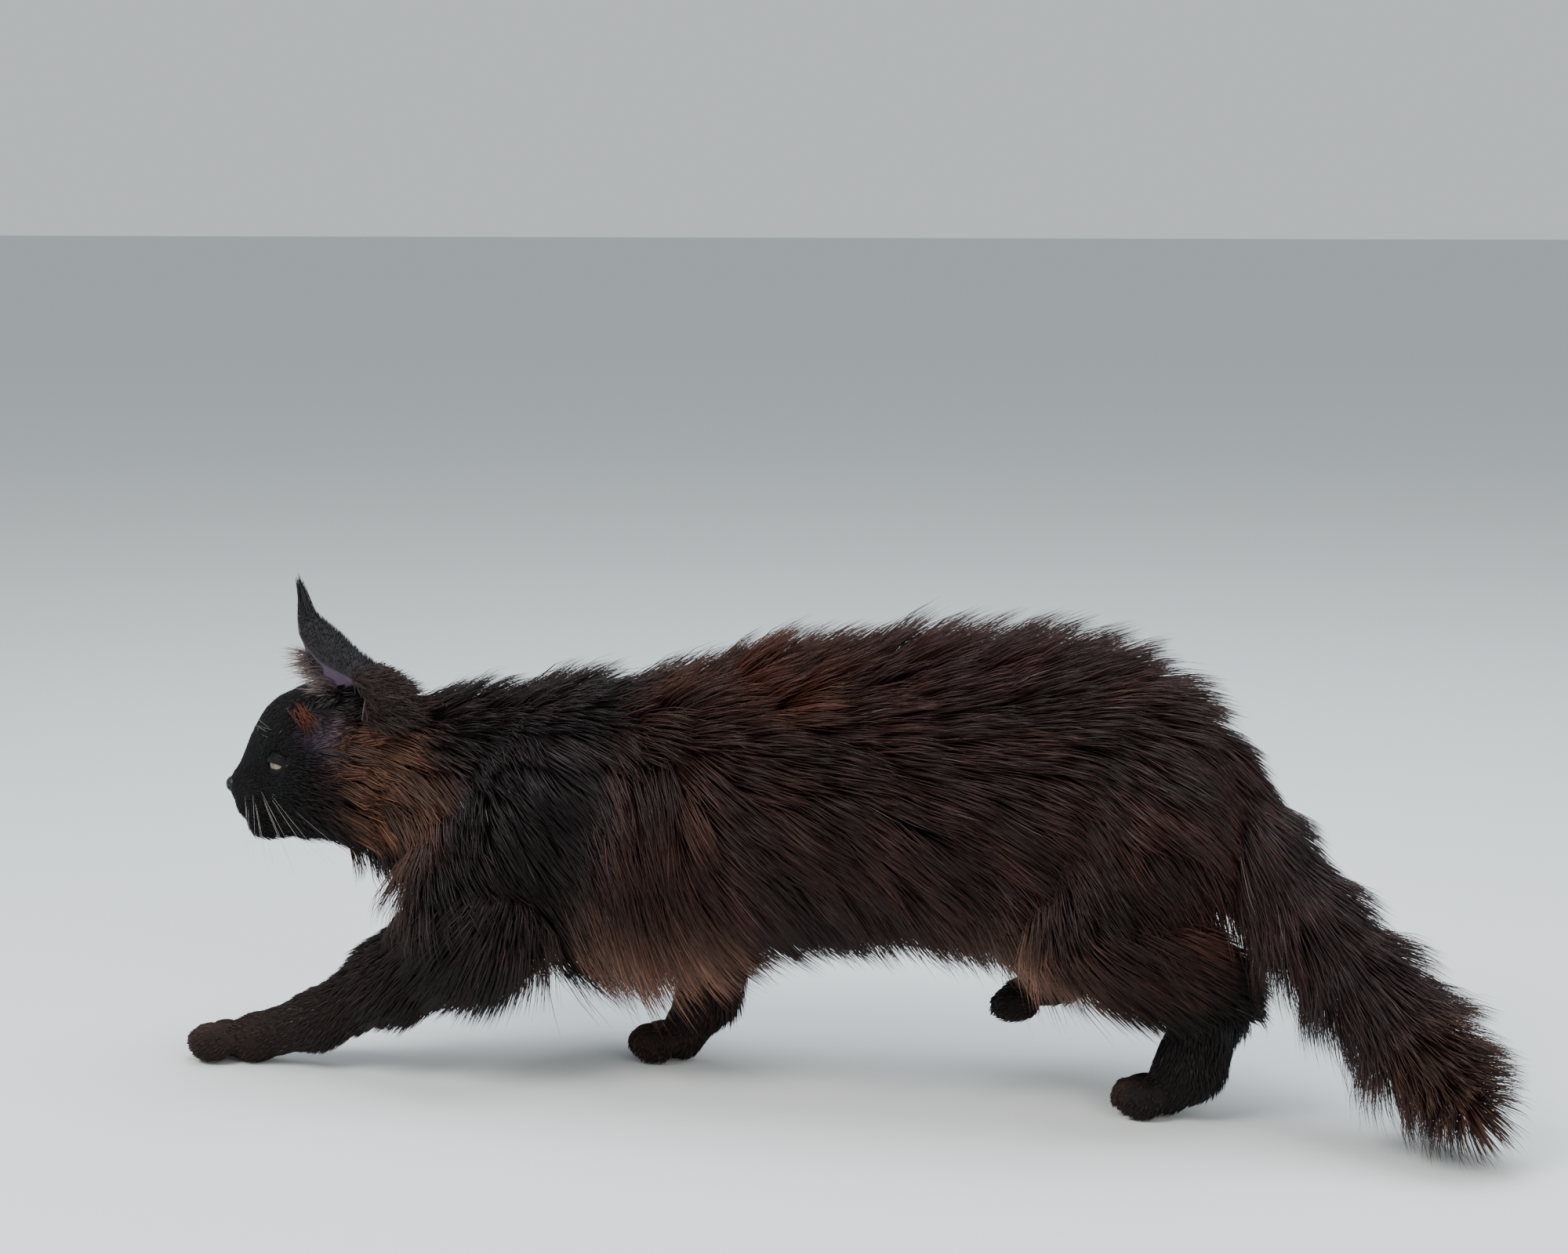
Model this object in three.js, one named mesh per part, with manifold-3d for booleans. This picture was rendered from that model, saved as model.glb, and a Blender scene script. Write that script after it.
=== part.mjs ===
// A maine coon cat in a slinking walk, life size, in millimetres.
// X runs from the nose to the tail, Y to the cat's right, Z up from the floor.
import * as THREE from 'three';
import Module from 'manifold-3d';

const wasm = await Module();
wasm.setup();

// Driving dimensions: gaps, frame and coat

const GAP = 0.32;              // space left between one node and the next
const SLIVER = 0.12;           // points closer to a neighbour's face than this are dropped
const FRAME_X = 376;           // middle of the whole cat along X, from the left forefoot
const FRAME_Y = -22;           // middle of the whole cat across, from the line of the spine
const TRUNK_SQUASH = 1.22;     // the trunk is this much taller than it is wide

// Small vector and distance functions

const vec = (x, y, z) => new THREE.Vector3(x, y, z);
const radians = THREE.MathUtils.degToRad;
const lerp = THREE.MathUtils.lerp;
const clamp = THREE.MathUtils.clamp;

function smoothMin(a, b, blend) {
  const h = Math.max(blend - Math.abs(a - b), 0) / blend;
  return Math.min(a, b) - h * h * blend * 0.25;
}

// A bone with flesh on it: two places with a radius of flesh and a depth of coat at each.
function bone(from, to, options = {}) {
  const { squash = 1, blend = 18 } = options;
  return { kind: 'bone', from, to, squash, blend };
}

// A place on a bone: where it is, the flesh round it and how deep the coat is there.
const at = (x, y, z, flesh, coat) => ({ place: vec(x, y, z), flesh, coat });

function boneDistance(p, piece, share) {
  const { from, to, squash } = piece;
  const ax = from.place.x;
  const ay = from.place.y * squash;
  const az = from.place.z;
  const bx = to.place.x - ax;
  const by = to.place.y * squash - ay;
  const bz = to.place.z - az;
  const px = p.x - ax;
  const py = p.y * squash - ay;
  const pz = p.z - az;
  const t = clamp((px * bx + py * by + pz * bz) / (bx * bx + by * by + bz * bz), 0, 1);
  const radius = lerp(from.flesh + share * from.coat, to.flesh + share * to.coat, t);
  const away = Math.hypot(px - bx * t, py - by * t, pz - bz * t);
  return away - radius;
}

// An egg: a centre, three half sizes and the coat over it.
function egg(centre, half, coat = 0, blend = 8) {
  return { kind: 'egg', centre, half, coat, blend };
}

function eggDistance(p, piece, share) {
  const { centre, half } = piece;
  const grow = share * piece.coat;
  const x = (p.x - centre.x) / (half.x + grow);
  const y = (p.y - centre.y) / (half.y + grow);
  const z = (p.z - centre.z) / (half.z + grow);
  const far = Math.hypot(x, y, z);
  return (far - 1) * (Math.min(half.x, half.y, half.z) + grow);
}

// Distance to a body made of bones and eggs. Share 0 is the skin and 1 the tips of the coat.
function bodyDistance(p, pieces, share) {
  let distance = 1e6;
  for (const piece of pieces) {
    const own = piece.kind === 'bone' ? boneDistance(p, piece, share) : eggDistance(p, piece, share);
    distance = smoothMin(distance, own, piece.blend);
  }
  return distance;
}

// The skeleton of flesh: trunk and tail

const trunkStations = [
  at(98, -4, 186, 36, 20),
  at(150, -1, 176, 47, 26),
  at(205, 0, 167, 63, 26),
  at(265, 0, 166, 66, 27),
  at(340, 0, 178, 69, 29),
  at(420, 0, 186, 69, 31),
  at(490, 0, 190, 66, 32),
  at(545, 0, 194, 57, 35),
  at(584, 0, 192, 36, 34),
];

const tailStations = [
  at(600, 0, 206, 15, 24),
  at(627, -8, 170, 13, 26),
  at(656, -25, 133, 12, 28),
  at(684, -42, 101, 11, 29),
  at(716, -62, 67, 10, 30),
  at(750, -87, 38, 7, 31),
];

function chain(stations, options) {
  const pieces = [];
  for (let i = 1; i < stations.length; i += 1) {
    pieces.push(bone(stations[i - 1], stations[i], options));
  }
  return pieces;
}

// Shoulders and thighs swell the trunk on both sides.
const trunk = [
  ...chain(trunkStations, { squash: TRUNK_SQUASH, blend: 12 }),
  bone(at(96, -6, 152, 14, 32), at(160, 0, 122, 22, 34), { blend: 30 }),
  bone(at(205, -40, 205, 16, 22), at(150, -40, 128, 27, 18), { blend: 30 }),
  bone(at(205, 40, 205, 16, 22), at(225, 40, 132, 27, 18), { blend: 30 }),
  bone(at(562, -32, 178, 31, 22), at(532, -42, 128, 25, 17), { blend: 30 }),
  bone(at(562, 32, 178, 31, 22), at(515, 40, 130, 25, 17), { blend: 30 }),
];
const tail = chain(tailStations, { blend: 10 });

// The skeleton of each leg, from where it leaves the coat of the trunk to the foot

const legs = {
  front_left: [
    bone(at(172, -44, 104, 25, 12), at(158, -43, 86, 22, 12), { blend: 12 }),
    bone(at(158, -43, 86, 22, 12), at(52, -31, 28, 14, 4), { blend: 12 }),
    bone(at(52, -31, 28, 14, 4), at(8, -28, 15, 14, 3), { blend: 10 }),
    bone(at(8, -28, 15, 14, 3), at(-13, -28, 11, 9, 2), { blend: 8 }),
  ],
  front_right: [
    bone(at(262, 44, 118, 26, 10), at(293, 41, 96, 20, 8), { blend: 12 }),
    bone(at(293, 41, 96, 20, 8), at(287, 30, 42, 15, 5), { blend: 12 }),
    bone(at(287, 30, 42, 15, 5), at(271, 28, 16, 14, 3), { blend: 10 }),
  ],
  rear_left: [
    bone(at(536, -43, 118, 24, 11), at(612, -32, 72, 15, 8), { blend: 14 }),
    bone(at(612, -32, 72, 15, 8), at(599, -29, 24, 13, 4), { blend: 12 }),
    bone(at(599, -29, 24, 13, 4), at(580, -28, 15, 14, 3), { blend: 10 }),
  ],
  rear_right: [
    bone(at(512, 41, 118, 24, 11), at(546, 31, 84, 15, 8), { blend: 14 }),
    bone(at(546, 31, 84, 15, 8), at(508, 29, 66, 12, 4), { blend: 12 }),
    bone(at(508, 29, 66, 12, 4), at(496, 28, 62, 13, 3), { blend: 10 }),
  ],
};

// Each foot: where its four toes fan from, which way it points and how far down it dips
const feet = {
  front_left: { heel: vec(6, -28, 14), ahead: 24, dip: 0 },
  front_right: { heel: vec(268, 28, 14), ahead: 14, dip: 0 },
  rear_left: { heel: vec(578, -28, 14), ahead: 14, dip: 0 },
  rear_right: { heel: vec(494, 28, 61), ahead: 15, dip: 38 },
};
const TOE_HALF = vec(15, 6.6, 11.5);
const TOE_SPREAD = 9.4;
const LEG_SIDES = 8;
const LEG_STEP = 42;           // length of leg from one ring to the next
const JOINT_SWELL = 4;         // how far a joint's blend may swell past its bones

// The head has its own frame: u ahead, v to its left, w up

const HEAD_PLACE = vec(60, -6, 190);
const HEAD_YAW = 20;           // turned towards its left
const HEAD_ROLL = 10;          // left side up
const HEAD_PITCH = 15;         // nose down

function headFrame() {
  const yaw = radians(HEAD_YAW);
  const roll = radians(HEAD_ROLL);
  const pitch = radians(HEAD_PITCH);
  const level = vec(-Math.cos(yaw), -Math.sin(yaw), 0);
  const left = vec(Math.sin(yaw), -Math.cos(yaw), 0).multiplyScalar(Math.cos(roll));
  left.z += Math.sin(roll);
  const raised = level.clone().cross(left);
  const ahead = level.clone().multiplyScalar(Math.cos(pitch)).addScaledVector(raised, -Math.sin(pitch));
  const up = raised.clone().multiplyScalar(Math.cos(pitch)).addScaledVector(level, Math.sin(pitch));
  return new THREE.Matrix4().makeBasis(ahead, left, up).setPosition(HEAD_PLACE);
}

const headToCat = headFrame();

function pair(make) {
  return [make(1), make(-1)];
}

const head = [
  egg(vec(2, 0, 13), vec(46, 36, 38), 4, 6),
  bone(at(24, 0, 28, 14, 3), at(60, 0, 5, 7, 1.5), { blend: 14 }),
  bone(at(36, 0, -9, 24, 3), at(50, 0, -8, 16, 2), { blend: 12 }),
  bone(at(18, 0, -14, 22, 5), at(46, 0, -19, 13, 3), { blend: 12 }),
  ...pair((side) => egg(vec(55, 9.5 * side, -9), vec(13, 10.5, 11.5), 1.5, 6)),
  egg(vec(53, 0, -25), vec(10.5, 10, 7.5), 2, 7),
  ...pair((side) => egg(vec(10, 24 * side, -6), vec(27, 19, 25), 7, 14)),
  ...pair((side) => bone(at(22, 20 * side, 22, 9, 3), at(34, 15 * side, 21, 7, 2), { blend: 12 })),
];

// Eyes, nose and mouth, in the head's frame

const EYE_PLACE = vec(31, 21.5, 8);
const EYE_RADIUS = 10.5;
const EYE_OUTWARD = 34;        // degrees each eye looks out to its side
const LID_THICKNESS = 1.5;
const LID_OPEN_WIDE = 8.4;     // half the width of the opening between the lids
const LID_OPEN_TALL = 5.2;     // half its height
const LID_TILT = -16;          // degrees that its outer corner stands higher
const NOSE_PLACE = vec(66.4, 0, 4.5);
const NOSE_HALF = vec(4.2, 6.4, 5);

// Where the locks of the cheek ruff grow, on one side of the head
const RUFF_ROOTS = [
  [8, 44, -4], [-8, 44, 4], [-22, 38, 16],
  [6, 40, -20], [-10, 42, -14], [-26, 36, -4],
  [14, 26, -34], [-4, 30, -32], [-20, 26, -28],
];

// Ears: one C-shaped section at each height, given as centre, half width and the two edges.
// The last three heights are the tuft of hair at the tip.

const EAR_MIDDLE = 37;         // from the head's midline to the middle of an ear
const EAR_THICK = 2.4;
const EAR_LEVELS = [
  { w: 18, u: -14.5, half: 26, across: 20, inner: -80, outer: 100 },
  { w: 34, u: -17.5, half: 29, across: 22, inner: -74, outer: 108 },
  { w: 47, u: -14.5, half: 26, across: 20.5, inner: -66, outer: 99 },
  { w: 61, u: -9.8, half: 20.2, across: 17, inner: -60, outer: 76 },
  { w: 72, u: -8, half: 15.8, across: 13.5, inner: -56, outer: 60 },
  { w: 82, u: -6, half: 11, across: 9.5, inner: -52, outer: 46 },
  { w: 92, u: -4.5, half: 5.6, across: 5, inner: -48, outer: 40 },
  { w: 99.5, u: -4.7, half: 3, across: 2.6, inner: -46, outer: 40 },
  { w: 106, u: -6.5, half: 2.2, across: 1.8, inner: -46, outer: 40 },
  { w: 113, u: -8.9, half: 1.1, across: 0.9, inner: -46, outer: 40 },
];

// How the coat lies: a place on one side of the body, where the hair points, its length and its lift
// in degrees off the skin. Places and directions count outwards from the midline, so both sides match.

const guide = (place, flow, length, lift) => ({ place, flow, length, lift });

const bodyGuides = [
  guide(vec(110, 0, 235), vec(1, 0, 0.1), 34, 30),
  guide(vec(110, 36, 190), vec(0.85, 0.2, -0.5), 42, 28),
  guide(vec(105, 30, 150), vec(0.7, 0.2, -0.8), 52, 32),
  guide(vec(100, 0, 128), vec(0.6, 0, -0.9), 55, 40),
  guide(vec(140, 0, 110), vec(0.5, 0, -0.95), 60, 36),
  guide(vec(190, 0, 242), vec(1, 0, 0.05), 40, 24),
  guide(vec(195, 46, 200), vec(0.75, 0.1, -0.65), 36, 22),
  guide(vec(185, 58, 150), vec(0.6, 0.1, -0.8), 40, 22),
  guide(vec(265, 50, 180), vec(0.35, 0.1, -0.95), 55, 22),
  guide(vec(230, 40, 105), vec(0.5, 0, -0.9), 58, 30),
  guide(vec(240, 0, 98), vec(0.6, 0, -0.85), 48, 30),
  guide(vec(270, 0, 238), vec(0.95, 0, 0.25), 50, 30),
  guide(vec(350, 10, 252), vec(0.9, 0, 0.4), 64, 30),
  guide(vec(440, 10, 258), vec(0.9, 0, 0.42), 68, 30),
  guide(vec(500, 10, 258), vec(0.9, 0, 0.35), 66, 30),
  guide(vec(350, 45, 215), vec(0.95, 0.1, -0.1), 60, 28),
  guide(vec(340, 55, 175), vec(0.85, 0.1, -0.45), 58, 24),
  guide(vec(340, 45, 130), vec(0.6, 0.1, -0.8), 58, 26),
  guide(vec(380, 38, 122), vec(0.55, 0.05, -0.9), 58, 30),
  guide(vec(380, 0, 112), vec(0.7, 0, -0.75), 46, 34),
  guide(vec(450, 45, 225), vec(0.95, 0.1, 0), 62, 30),
  guide(vec(450, 55, 180), vec(0.9, 0.1, -0.4), 60, 26),
  guide(vec(460, 45, 130), vec(0.6, 0.1, -0.85), 58, 28),
  guide(vec(480, 20, 125), vec(0.5, 0, -0.9), 55, 30),
  guide(vec(560, 10, 245), vec(0.8, 0, -0.1), 60, 34),
  guide(vec(598, 15, 225), vec(0.7, 0.1, -0.7), 55, 36),
  guide(vec(560, 55, 205), vec(0.8, 0.15, -0.55), 56, 28),
  guide(vec(550, 58, 165), vec(0.65, 0.1, -0.75), 50, 24),
  guide(vec(525, 60, 125), vec(0.5, 0.1, -0.9), 44, 24),
  guide(vec(590, 30, 150), vec(0.45, 0.1, -0.95), 60, 34),
];

const headGuides = [
  guide(vec(10, 44, -8), vec(-1, 0.3, -0.45), 22, 26),
  guide(vec(-10, 44, -12), vec(-0.9, 0.4, -0.6), 38, 30),
  guide(vec(25, 24, -32), vec(-0.9, 0.2, -0.5), 14, 25),
  guide(vec(0, 28, -34), vec(-0.8, 0.2, -0.8), 34, 30),
  guide(vec(25, 0, -37), vec(-0.8, 0, -0.6), 15, 25),
  guide(vec(-35, 30, 20), vec(-0.9, 0.2, -0.5), 30, 30),
  guide(vec(-42, 0, 25), vec(-1, 0, -0.1), 30, 30),
];

const NEAR_BLUR = 12;          // guides closer than this weigh alike

// Blend the guides round a place, the nearest most
function coatAt(guides, place) {
  const side = place.y < 0 ? -1 : 1;
  const mirrored = vec(place.x, Math.abs(place.y), place.z);
  const flow = vec(0, 0, 0);
  let length = 0;
  let lift = 0;
  let total = 0;
  for (const row of guides) {
    const weight = 1 / (row.place.distanceToSquared(mirrored) + NEAR_BLUR * NEAR_BLUR) ** 2;
    flow.addScaledVector(row.flow, weight);
    length += row.length * weight;
    lift += row.lift * weight;
    total += weight;
  }
  flow.y *= side;
  return { flow: flow.normalize(), length: length / total, lift: radians(lift / total) };
}

const LOCK_WIDTH = 37;         // a lock of the body at its widest
const LOCK_THICK = 9;          // and its thickness there
const TRUNK_ROWS = 10;         // rows of locks along the trunk
const TRUNK_ROUND = 10;        // locks in a row round it
const TAIL_ROWS = 6;
const TAIL_ROUND = 6;
const LOCK_SINK = 5;           // how far its root is sunk
const LOCK_KNEE = [0.4, 0.75];   // where a lock bends over, as shares of its reach and its rise
const LOCK_REACH = 0.7;        // share of its length that hugs the skin
const LOCK_FOLLOW = 0.22;      // share that follows the lie of the coat freely
const LOCK_SECTIONS = [[0.06, 0.75], [0.4, 1], [0.75, 0.62]];   // places along a lock and their widths
const LEAST_DEPTH = 6;         // the lowest lock still stands this far off the core
const EDGE_THICK = 0.3;        // thickness kept at a lock's thinnest section

// Making closed surfaces

// A piece is a list of points and a list of corners, three to a triangle.
function signedVolume(piece) {
  let sum = 0;
  const { points, corners } = piece;
  for (let i = 0; i < corners.length; i += 3) {
    const a = points[corners[i]];
    const b = points[corners[i + 1]];
    const c = points[corners[i + 2]];
    sum += a.dot(b.clone().cross(c));
  }
  return sum / 6;
}

function facingOut(piece) {
  if (signedVolume(piece) > 0) return piece;
  const corners = [];
  for (let i = 0; i < piece.corners.length; i += 3) {
    corners.push(piece.corners[i], piece.corners[i + 2], piece.corners[i + 1]);
  }
  return { points: piece.points, corners };
}

// Rings of equal count joined into a closed skin, with a point at each end
function loft(rings, startPoint, endPoint) {
  const count = rings[0].length;
  const points = rings.flat();
  const corners = [];
  for (let r = 1; r < rings.length; r += 1) {
    for (let s = 0; s < count; s += 1) {
      const a = (r - 1) * count + s;
      const b = (r - 1) * count + (s + 1) % count;
      const c = a + count;
      const d = b + count;
      const shortFirst = points[a].distanceTo(points[d]) < points[b].distanceTo(points[c]);
      if (shortFirst) corners.push(a, b, d, a, d, c);
      else corners.push(a, b, c, b, d, c);
    }
  }
  const start = points.push(startPoint) - 1;
  const end = points.push(endPoint) - 1;
  const last = (rings.length - 1) * count;
  for (let s = 0; s < count; s += 1) {
    const next = (s + 1) % count;
    corners.push(start, next, s);
    corners.push(end, last + s, last + next);
  }
  return facingOut({ points, corners });
}

// Walk out from an inner point until the body's surface, then close in on it by halves
function castOut(distance, origin, direction) {
  const step = 3;
  const furthest = 200;
  const halvings = 14;
  let near = 0;
  let far = step;
  const place = vec(0, 0, 0);
  const value = (t) => distance(place.copy(origin).addScaledVector(direction, t));
  while (value(far) < 0 && far < furthest) {
    near = far;
    far += step;
  }
  for (let i = 0; i < halvings; i += 1) {
    const middle = (near + far) / 2;
    if (value(middle) < 0) near = middle;
    else far = middle;
  }
  return origin.clone().addScaledVector(direction, (near + far) / 2);
}

// A ring of rays from one origin; lean 90 is square to the axis, less leans ahead
function castRing(distance, origin, axis, up, lean, count) {
  const across = axis.clone().cross(up).normalize();
  const top = across.clone().cross(axis).normalize();
  const ring = [];
  for (let s = 0; s < count; s += 1) {
    const turn = (s / count) * Math.PI * 2;
    const out = top.clone().multiplyScalar(Math.cos(turn)).addScaledVector(across, Math.sin(turn));
    const direction = axis.clone().multiplyScalar(Math.cos(lean)).addScaledVector(out, Math.sin(lean));
    ring.push(castOut(distance, origin, direction));
  }
  return ring;
}

// A closed skin cast from the points of an axis, with fans of rays round both ends
function castBody(distance, route, up, count, steps, fan) {
  const curve = new THREE.CatmullRomCurve3(route);
  const rings = [];
  for (let i = 1; i <= fan; i += 1) {
    const lean = Math.PI - (i / (fan + 1)) * Math.PI / 2;
    rings.push(castRing(distance, curve.getPointAt(0), curve.getTangentAt(0), up, lean, count));
  }
  for (let i = 0; i <= steps; i += 1) {
    const t = i / steps;
    rings.push(castRing(distance, curve.getPointAt(t), curve.getTangentAt(t), up, Math.PI / 2, count));
  }
  for (let i = fan; i >= 1; i -= 1) {
    const lean = (i / (fan + 1)) * Math.PI / 2;
    rings.push(castRing(distance, curve.getPointAt(1), curve.getTangentAt(1), up, lean, count));
  }
  const start = castOut(distance, curve.getPointAt(0), curve.getTangentAt(0).negate());
  const end = castOut(distance, curve.getPointAt(1), curve.getTangentAt(1));
  return loft(rings, start, end);
}

// A round egg of few triangles
function roundEgg(centre, half, count, steps, turn = new THREE.Matrix4()) {
  const rings = [];
  for (let r = 1; r < steps; r += 1) {
    const lean = (r / steps) * Math.PI;
    const ring = [];
    for (let s = 0; s < count; s += 1) {
      const round = (s / count) * Math.PI * 2;
      ring.push(vec(Math.cos(lean), Math.sin(lean) * Math.cos(round), Math.sin(lean) * Math.sin(round)));
    }
    rings.push(ring);
  }
  const piece = loft(rings, vec(1, 0, 0), vec(-1, 0, 0));
  for (const p of piece.points) p.multiply(half).applyMatrix4(turn).add(centre);
  return facingOut(piece);
}

// The same piece with every point moved out by the gap, so that a neighbour can be cut clear of it
function grown(piece, by = GAP) {
  const normals = piece.points.map(() => vec(0, 0, 0));
  for (let i = 0; i < piece.corners.length; i += 3) {
    const ids = [0, 1, 2].map((k) => piece.corners[i + k]);
    const [a, b, c] = ids.map((id) => piece.points[id]);
    const normal = b.clone().sub(a).cross(c.clone().sub(a));
    for (const id of ids) normals[id].add(normal);
  }
  const points = piece.points.map((p, i) => p.clone().addScaledVector(normals[i].normalize(), by));
  return { points, corners: piece.corners };
}

function moved(piece, matrix) {
  const points = piece.points.map((p) => p.clone().applyMatrix4(matrix));
  return facingOut({ points, corners: piece.corners });
}

// Seeded draws, so that the coat comes out the same each time
function drawsFrom(seed) {
  let state = seed;
  return (low, high) => {
    state = (state * 1664525 + 1013904223) % 4294967296;
    return low + (high - low) * (state / 4294967296);
  };
}

// The outward direction of a body's surface at a place
function outwardOf(distance, place) {
  const step = 0.5;
  const slope = (x, y, z) => distance(vec(place.x + x, place.y + y, place.z + z));
  return vec(
    slope(step, 0, 0) - slope(-step, 0, 0),
    slope(0, step, 0) - slope(0, -step, 0),
    slope(0, 0, step) - slope(0, 0, -step),
  ).normalize();
}

// A flat tapered lock: sunk root, a bend along the lie, and a point at the tip
function lockPiece(root, outward, coat, depth, width) {
  const along = coat.flow.clone().addScaledVector(outward, -coat.flow.dot(outward)).normalize();
  const across = along.clone().cross(outward).normalize();
  const reach = coat.length * Math.cos(coat.lift);
  const base = root.clone().addScaledVector(outward, -LOCK_SINK).addScaledVector(along, -LOCK_SINK);
  const knee = root.clone().addScaledVector(along, reach * LOCK_KNEE[0]);
  knee.addScaledVector(outward, depth * LOCK_KNEE[1]);
  const tip = root.clone().addScaledVector(along, reach * LOCK_REACH).addScaledVector(outward, depth);
  tip.addScaledVector(coat.flow, coat.length * LOCK_FOLLOW);
  const curve = new THREE.QuadraticBezierCurve3(base, knee, tip);
  const rings = [];
  for (const [t, share] of LOCK_SECTIONS) {
    const place = curve.getPoint(t);
    const axis = curve.getTangent(t);
    const top = across.clone().cross(axis).normalize();
    const half = (width / 2) * share;
    const thick = LOCK_THICK * share * (width / LOCK_WIDTH) * 0.5 + EDGE_THICK;
    rings.push([
      place.clone().addScaledVector(across, half),
      place.clone().addScaledVector(top, thick),
      place.clone().addScaledVector(across, -half),
      place.clone().addScaledVector(top, -thick),
    ]);
  }
  return loft(rings, base, tip);
}

// Joining and cutting

function solid(piece) {
  const vertProperties = new Float32Array(piece.points.flatMap((p) => [p.x, p.y, p.z]));
  const triVerts = new Uint32Array(piece.corners);
  return new wasm.Manifold(new wasm.Mesh({ numProp: 3, vertProperties, triVerts }));
}

function joined(pieces) {
  let whole = solid(pieces[0]);
  for (const piece of pieces.slice(1)) whole = whole.add(solid(piece));
  return whole;
}

function largest(body) {
  const parts = body.decompose();
  parts.sort((a, b) => b.volume() - a.volume());
  return parts[0];
}

// Keep what lies past a plane through a place
function keepPast(body, normal, place) {
  const n = normal.clone().normalize();
  return body.trimByPlane([n.x, n.y, n.z], n.dot(place));
}

const UP = vec(0, 0, 1);
const FLOOR = vec(0, 0, 0);

// Trunk, parted across its length

const CORE_SHARE = 0.45;       // the core of a long coat reaches this far towards the tips
const SHORT_SHARE = 1;         // short fur is solid out to its tips

const trunkCore = (p) => bodyDistance(p, trunk, CORE_SHARE);
const trunkTips = (p) => bodyDistance(p, trunk, 1);
const trunkRoute = trunkStations.map((station) => station.place);
const TRUNK_SIDES = 16;
const TRUNK_STEPS = 14;
const TAIL_SIDES = 10;
const TAIL_STEPS = 8;
const END_FAN = 2;             // rings of rays that close each end of trunk and tail

function trunkPiece() {
  return castBody(trunkCore, trunkRoute, UP, TRUNK_SIDES, TRUNK_STEPS, END_FAN);
}

// Rows of locks round an axis, each row turned by half a lock from the last
function lockRows(route, up, rows, perRow, draw, make) {
  const curve = new THREE.CatmullRomCurve3(route);
  for (let row = 0; row < rows; row += 1) {
    for (let i = 0; i < perRow; i += 1) {
      const t = clamp((row + draw(0.25, 0.75)) / rows, 0, 1);
      const axis = curve.getTangentAt(t);
      const across = axis.clone().cross(up).normalize();
      const top = across.clone().cross(axis).normalize();
      const turn = ((i + (row % 2) / 2 + draw(-0.2, 0.2)) / perRow) * Math.PI * 2;
      const out = top.multiplyScalar(Math.cos(turn)).addScaledVector(across, Math.sin(turn));
      make(curve.getPointAt(t), out, axis);
    }
  }
}

function trunkLocks() {
  const draw = drawsFrom(11);
  const pieces = [];
  lockRows(trunkRoute, UP, TRUNK_ROWS, TRUNK_ROUND, draw, (origin, out) => {
    const root = castOut(trunkCore, origin, out);
    const coat = coatAt(bodyGuides, root);
    coat.length *= draw(0.85, 1.15);
    const depth = Math.max(-trunkTips(root), LEAST_DEPTH) * draw(0.85, 1.08);
    pieces.push(lockPiece(root, outwardOf(trunkCore, root), coat, depth, LOCK_WIDTH * draw(0.85, 1.2)));
  });
  return pieces;
}

const trunkCuts = { chest: 172, belly: 300, rump: 470 };

function trunkNodes(body) {
  const borders = [-Infinity, ...Object.values(trunkCuts), Infinity];
  const names = ['neck', ...Object.keys(trunkCuts)];
  return names.map((name, i) => {
    let node = body;
    if (i > 0) node = keepPast(node, vec(1, 0, 0), vec(borders[i] + GAP / 2, 0, 0));
    if (i < names.length - 1) node = keepPast(node, vec(-1, 0, 0), vec(borders[i + 1] - GAP / 2, 0, 0));
    return [name, largest(node)];
  });
}

// Tail, parted into three lengths

const TAIL_HAIR = 56;           // length of its hair
const TAIL_LIFT = 26;           // degrees that it stands off the tail
const TAIL_FAN = 0.35;          // how much it points out rather than along
const TAIL_UP = vec(0, 1, 0.2);
const tailCore = (p) => bodyDistance(p, tail, CORE_SHARE);
const tailTips = (p) => bodyDistance(p, tail, 1);
const tailRoute = tailStations.map((station) => station.place);

function tailPiece() {
  return castBody(tailCore, tailRoute, TAIL_UP, TAIL_SIDES, TAIL_STEPS, END_FAN);
}

function tailLocks() {
  const draw = drawsFrom(23);
  const pieces = [];
  lockRows(tailRoute, TAIL_UP, TAIL_ROWS, TAIL_ROUND, draw, (origin, out, axis) => {
    const root = castOut(tailCore, origin, out);
    const length = TAIL_HAIR * draw(0.85, 1.1);
    const flow = axis.clone().addScaledVector(out, TAIL_FAN).normalize();
    const coat = { flow, length, lift: radians(TAIL_LIFT) };
    const depth = Math.max(-tailTips(root), LEAST_DEPTH) * draw(0.8, 1);
    pieces.push(lockPiece(root, outwardOf(tailCore, root), coat, depth, LOCK_WIDTH * draw(0.75, 1)));
  });
  return pieces;
}

const tailCuts = { tail_middle: 2, tail_tip: 4 };

function tailNodes(body) {
  const names = ['tail_base', ...Object.keys(tailCuts)];
  const planes = Object.values(tailCuts).map((i) => {
    const along = tailStations[i + 1].place.clone().sub(tailStations[i - 1].place).normalize();
    return { place: tailStations[i].place, along };
  });
  return names.map((name, i) => {
    let node = body;
    if (i > 0) {
      const { place, along } = planes[i - 1];
      node = keepPast(node, along, place.clone().addScaledVector(along, GAP / 2));
    }
    if (i < planes.length) {
      const { place, along } = planes[i];
      node = keepPast(node, along.clone().negate(), place.clone().addScaledVector(along, -GAP / 2));
    }
    return [name, largest(node)];
  });
}

// Legs and feet

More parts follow.
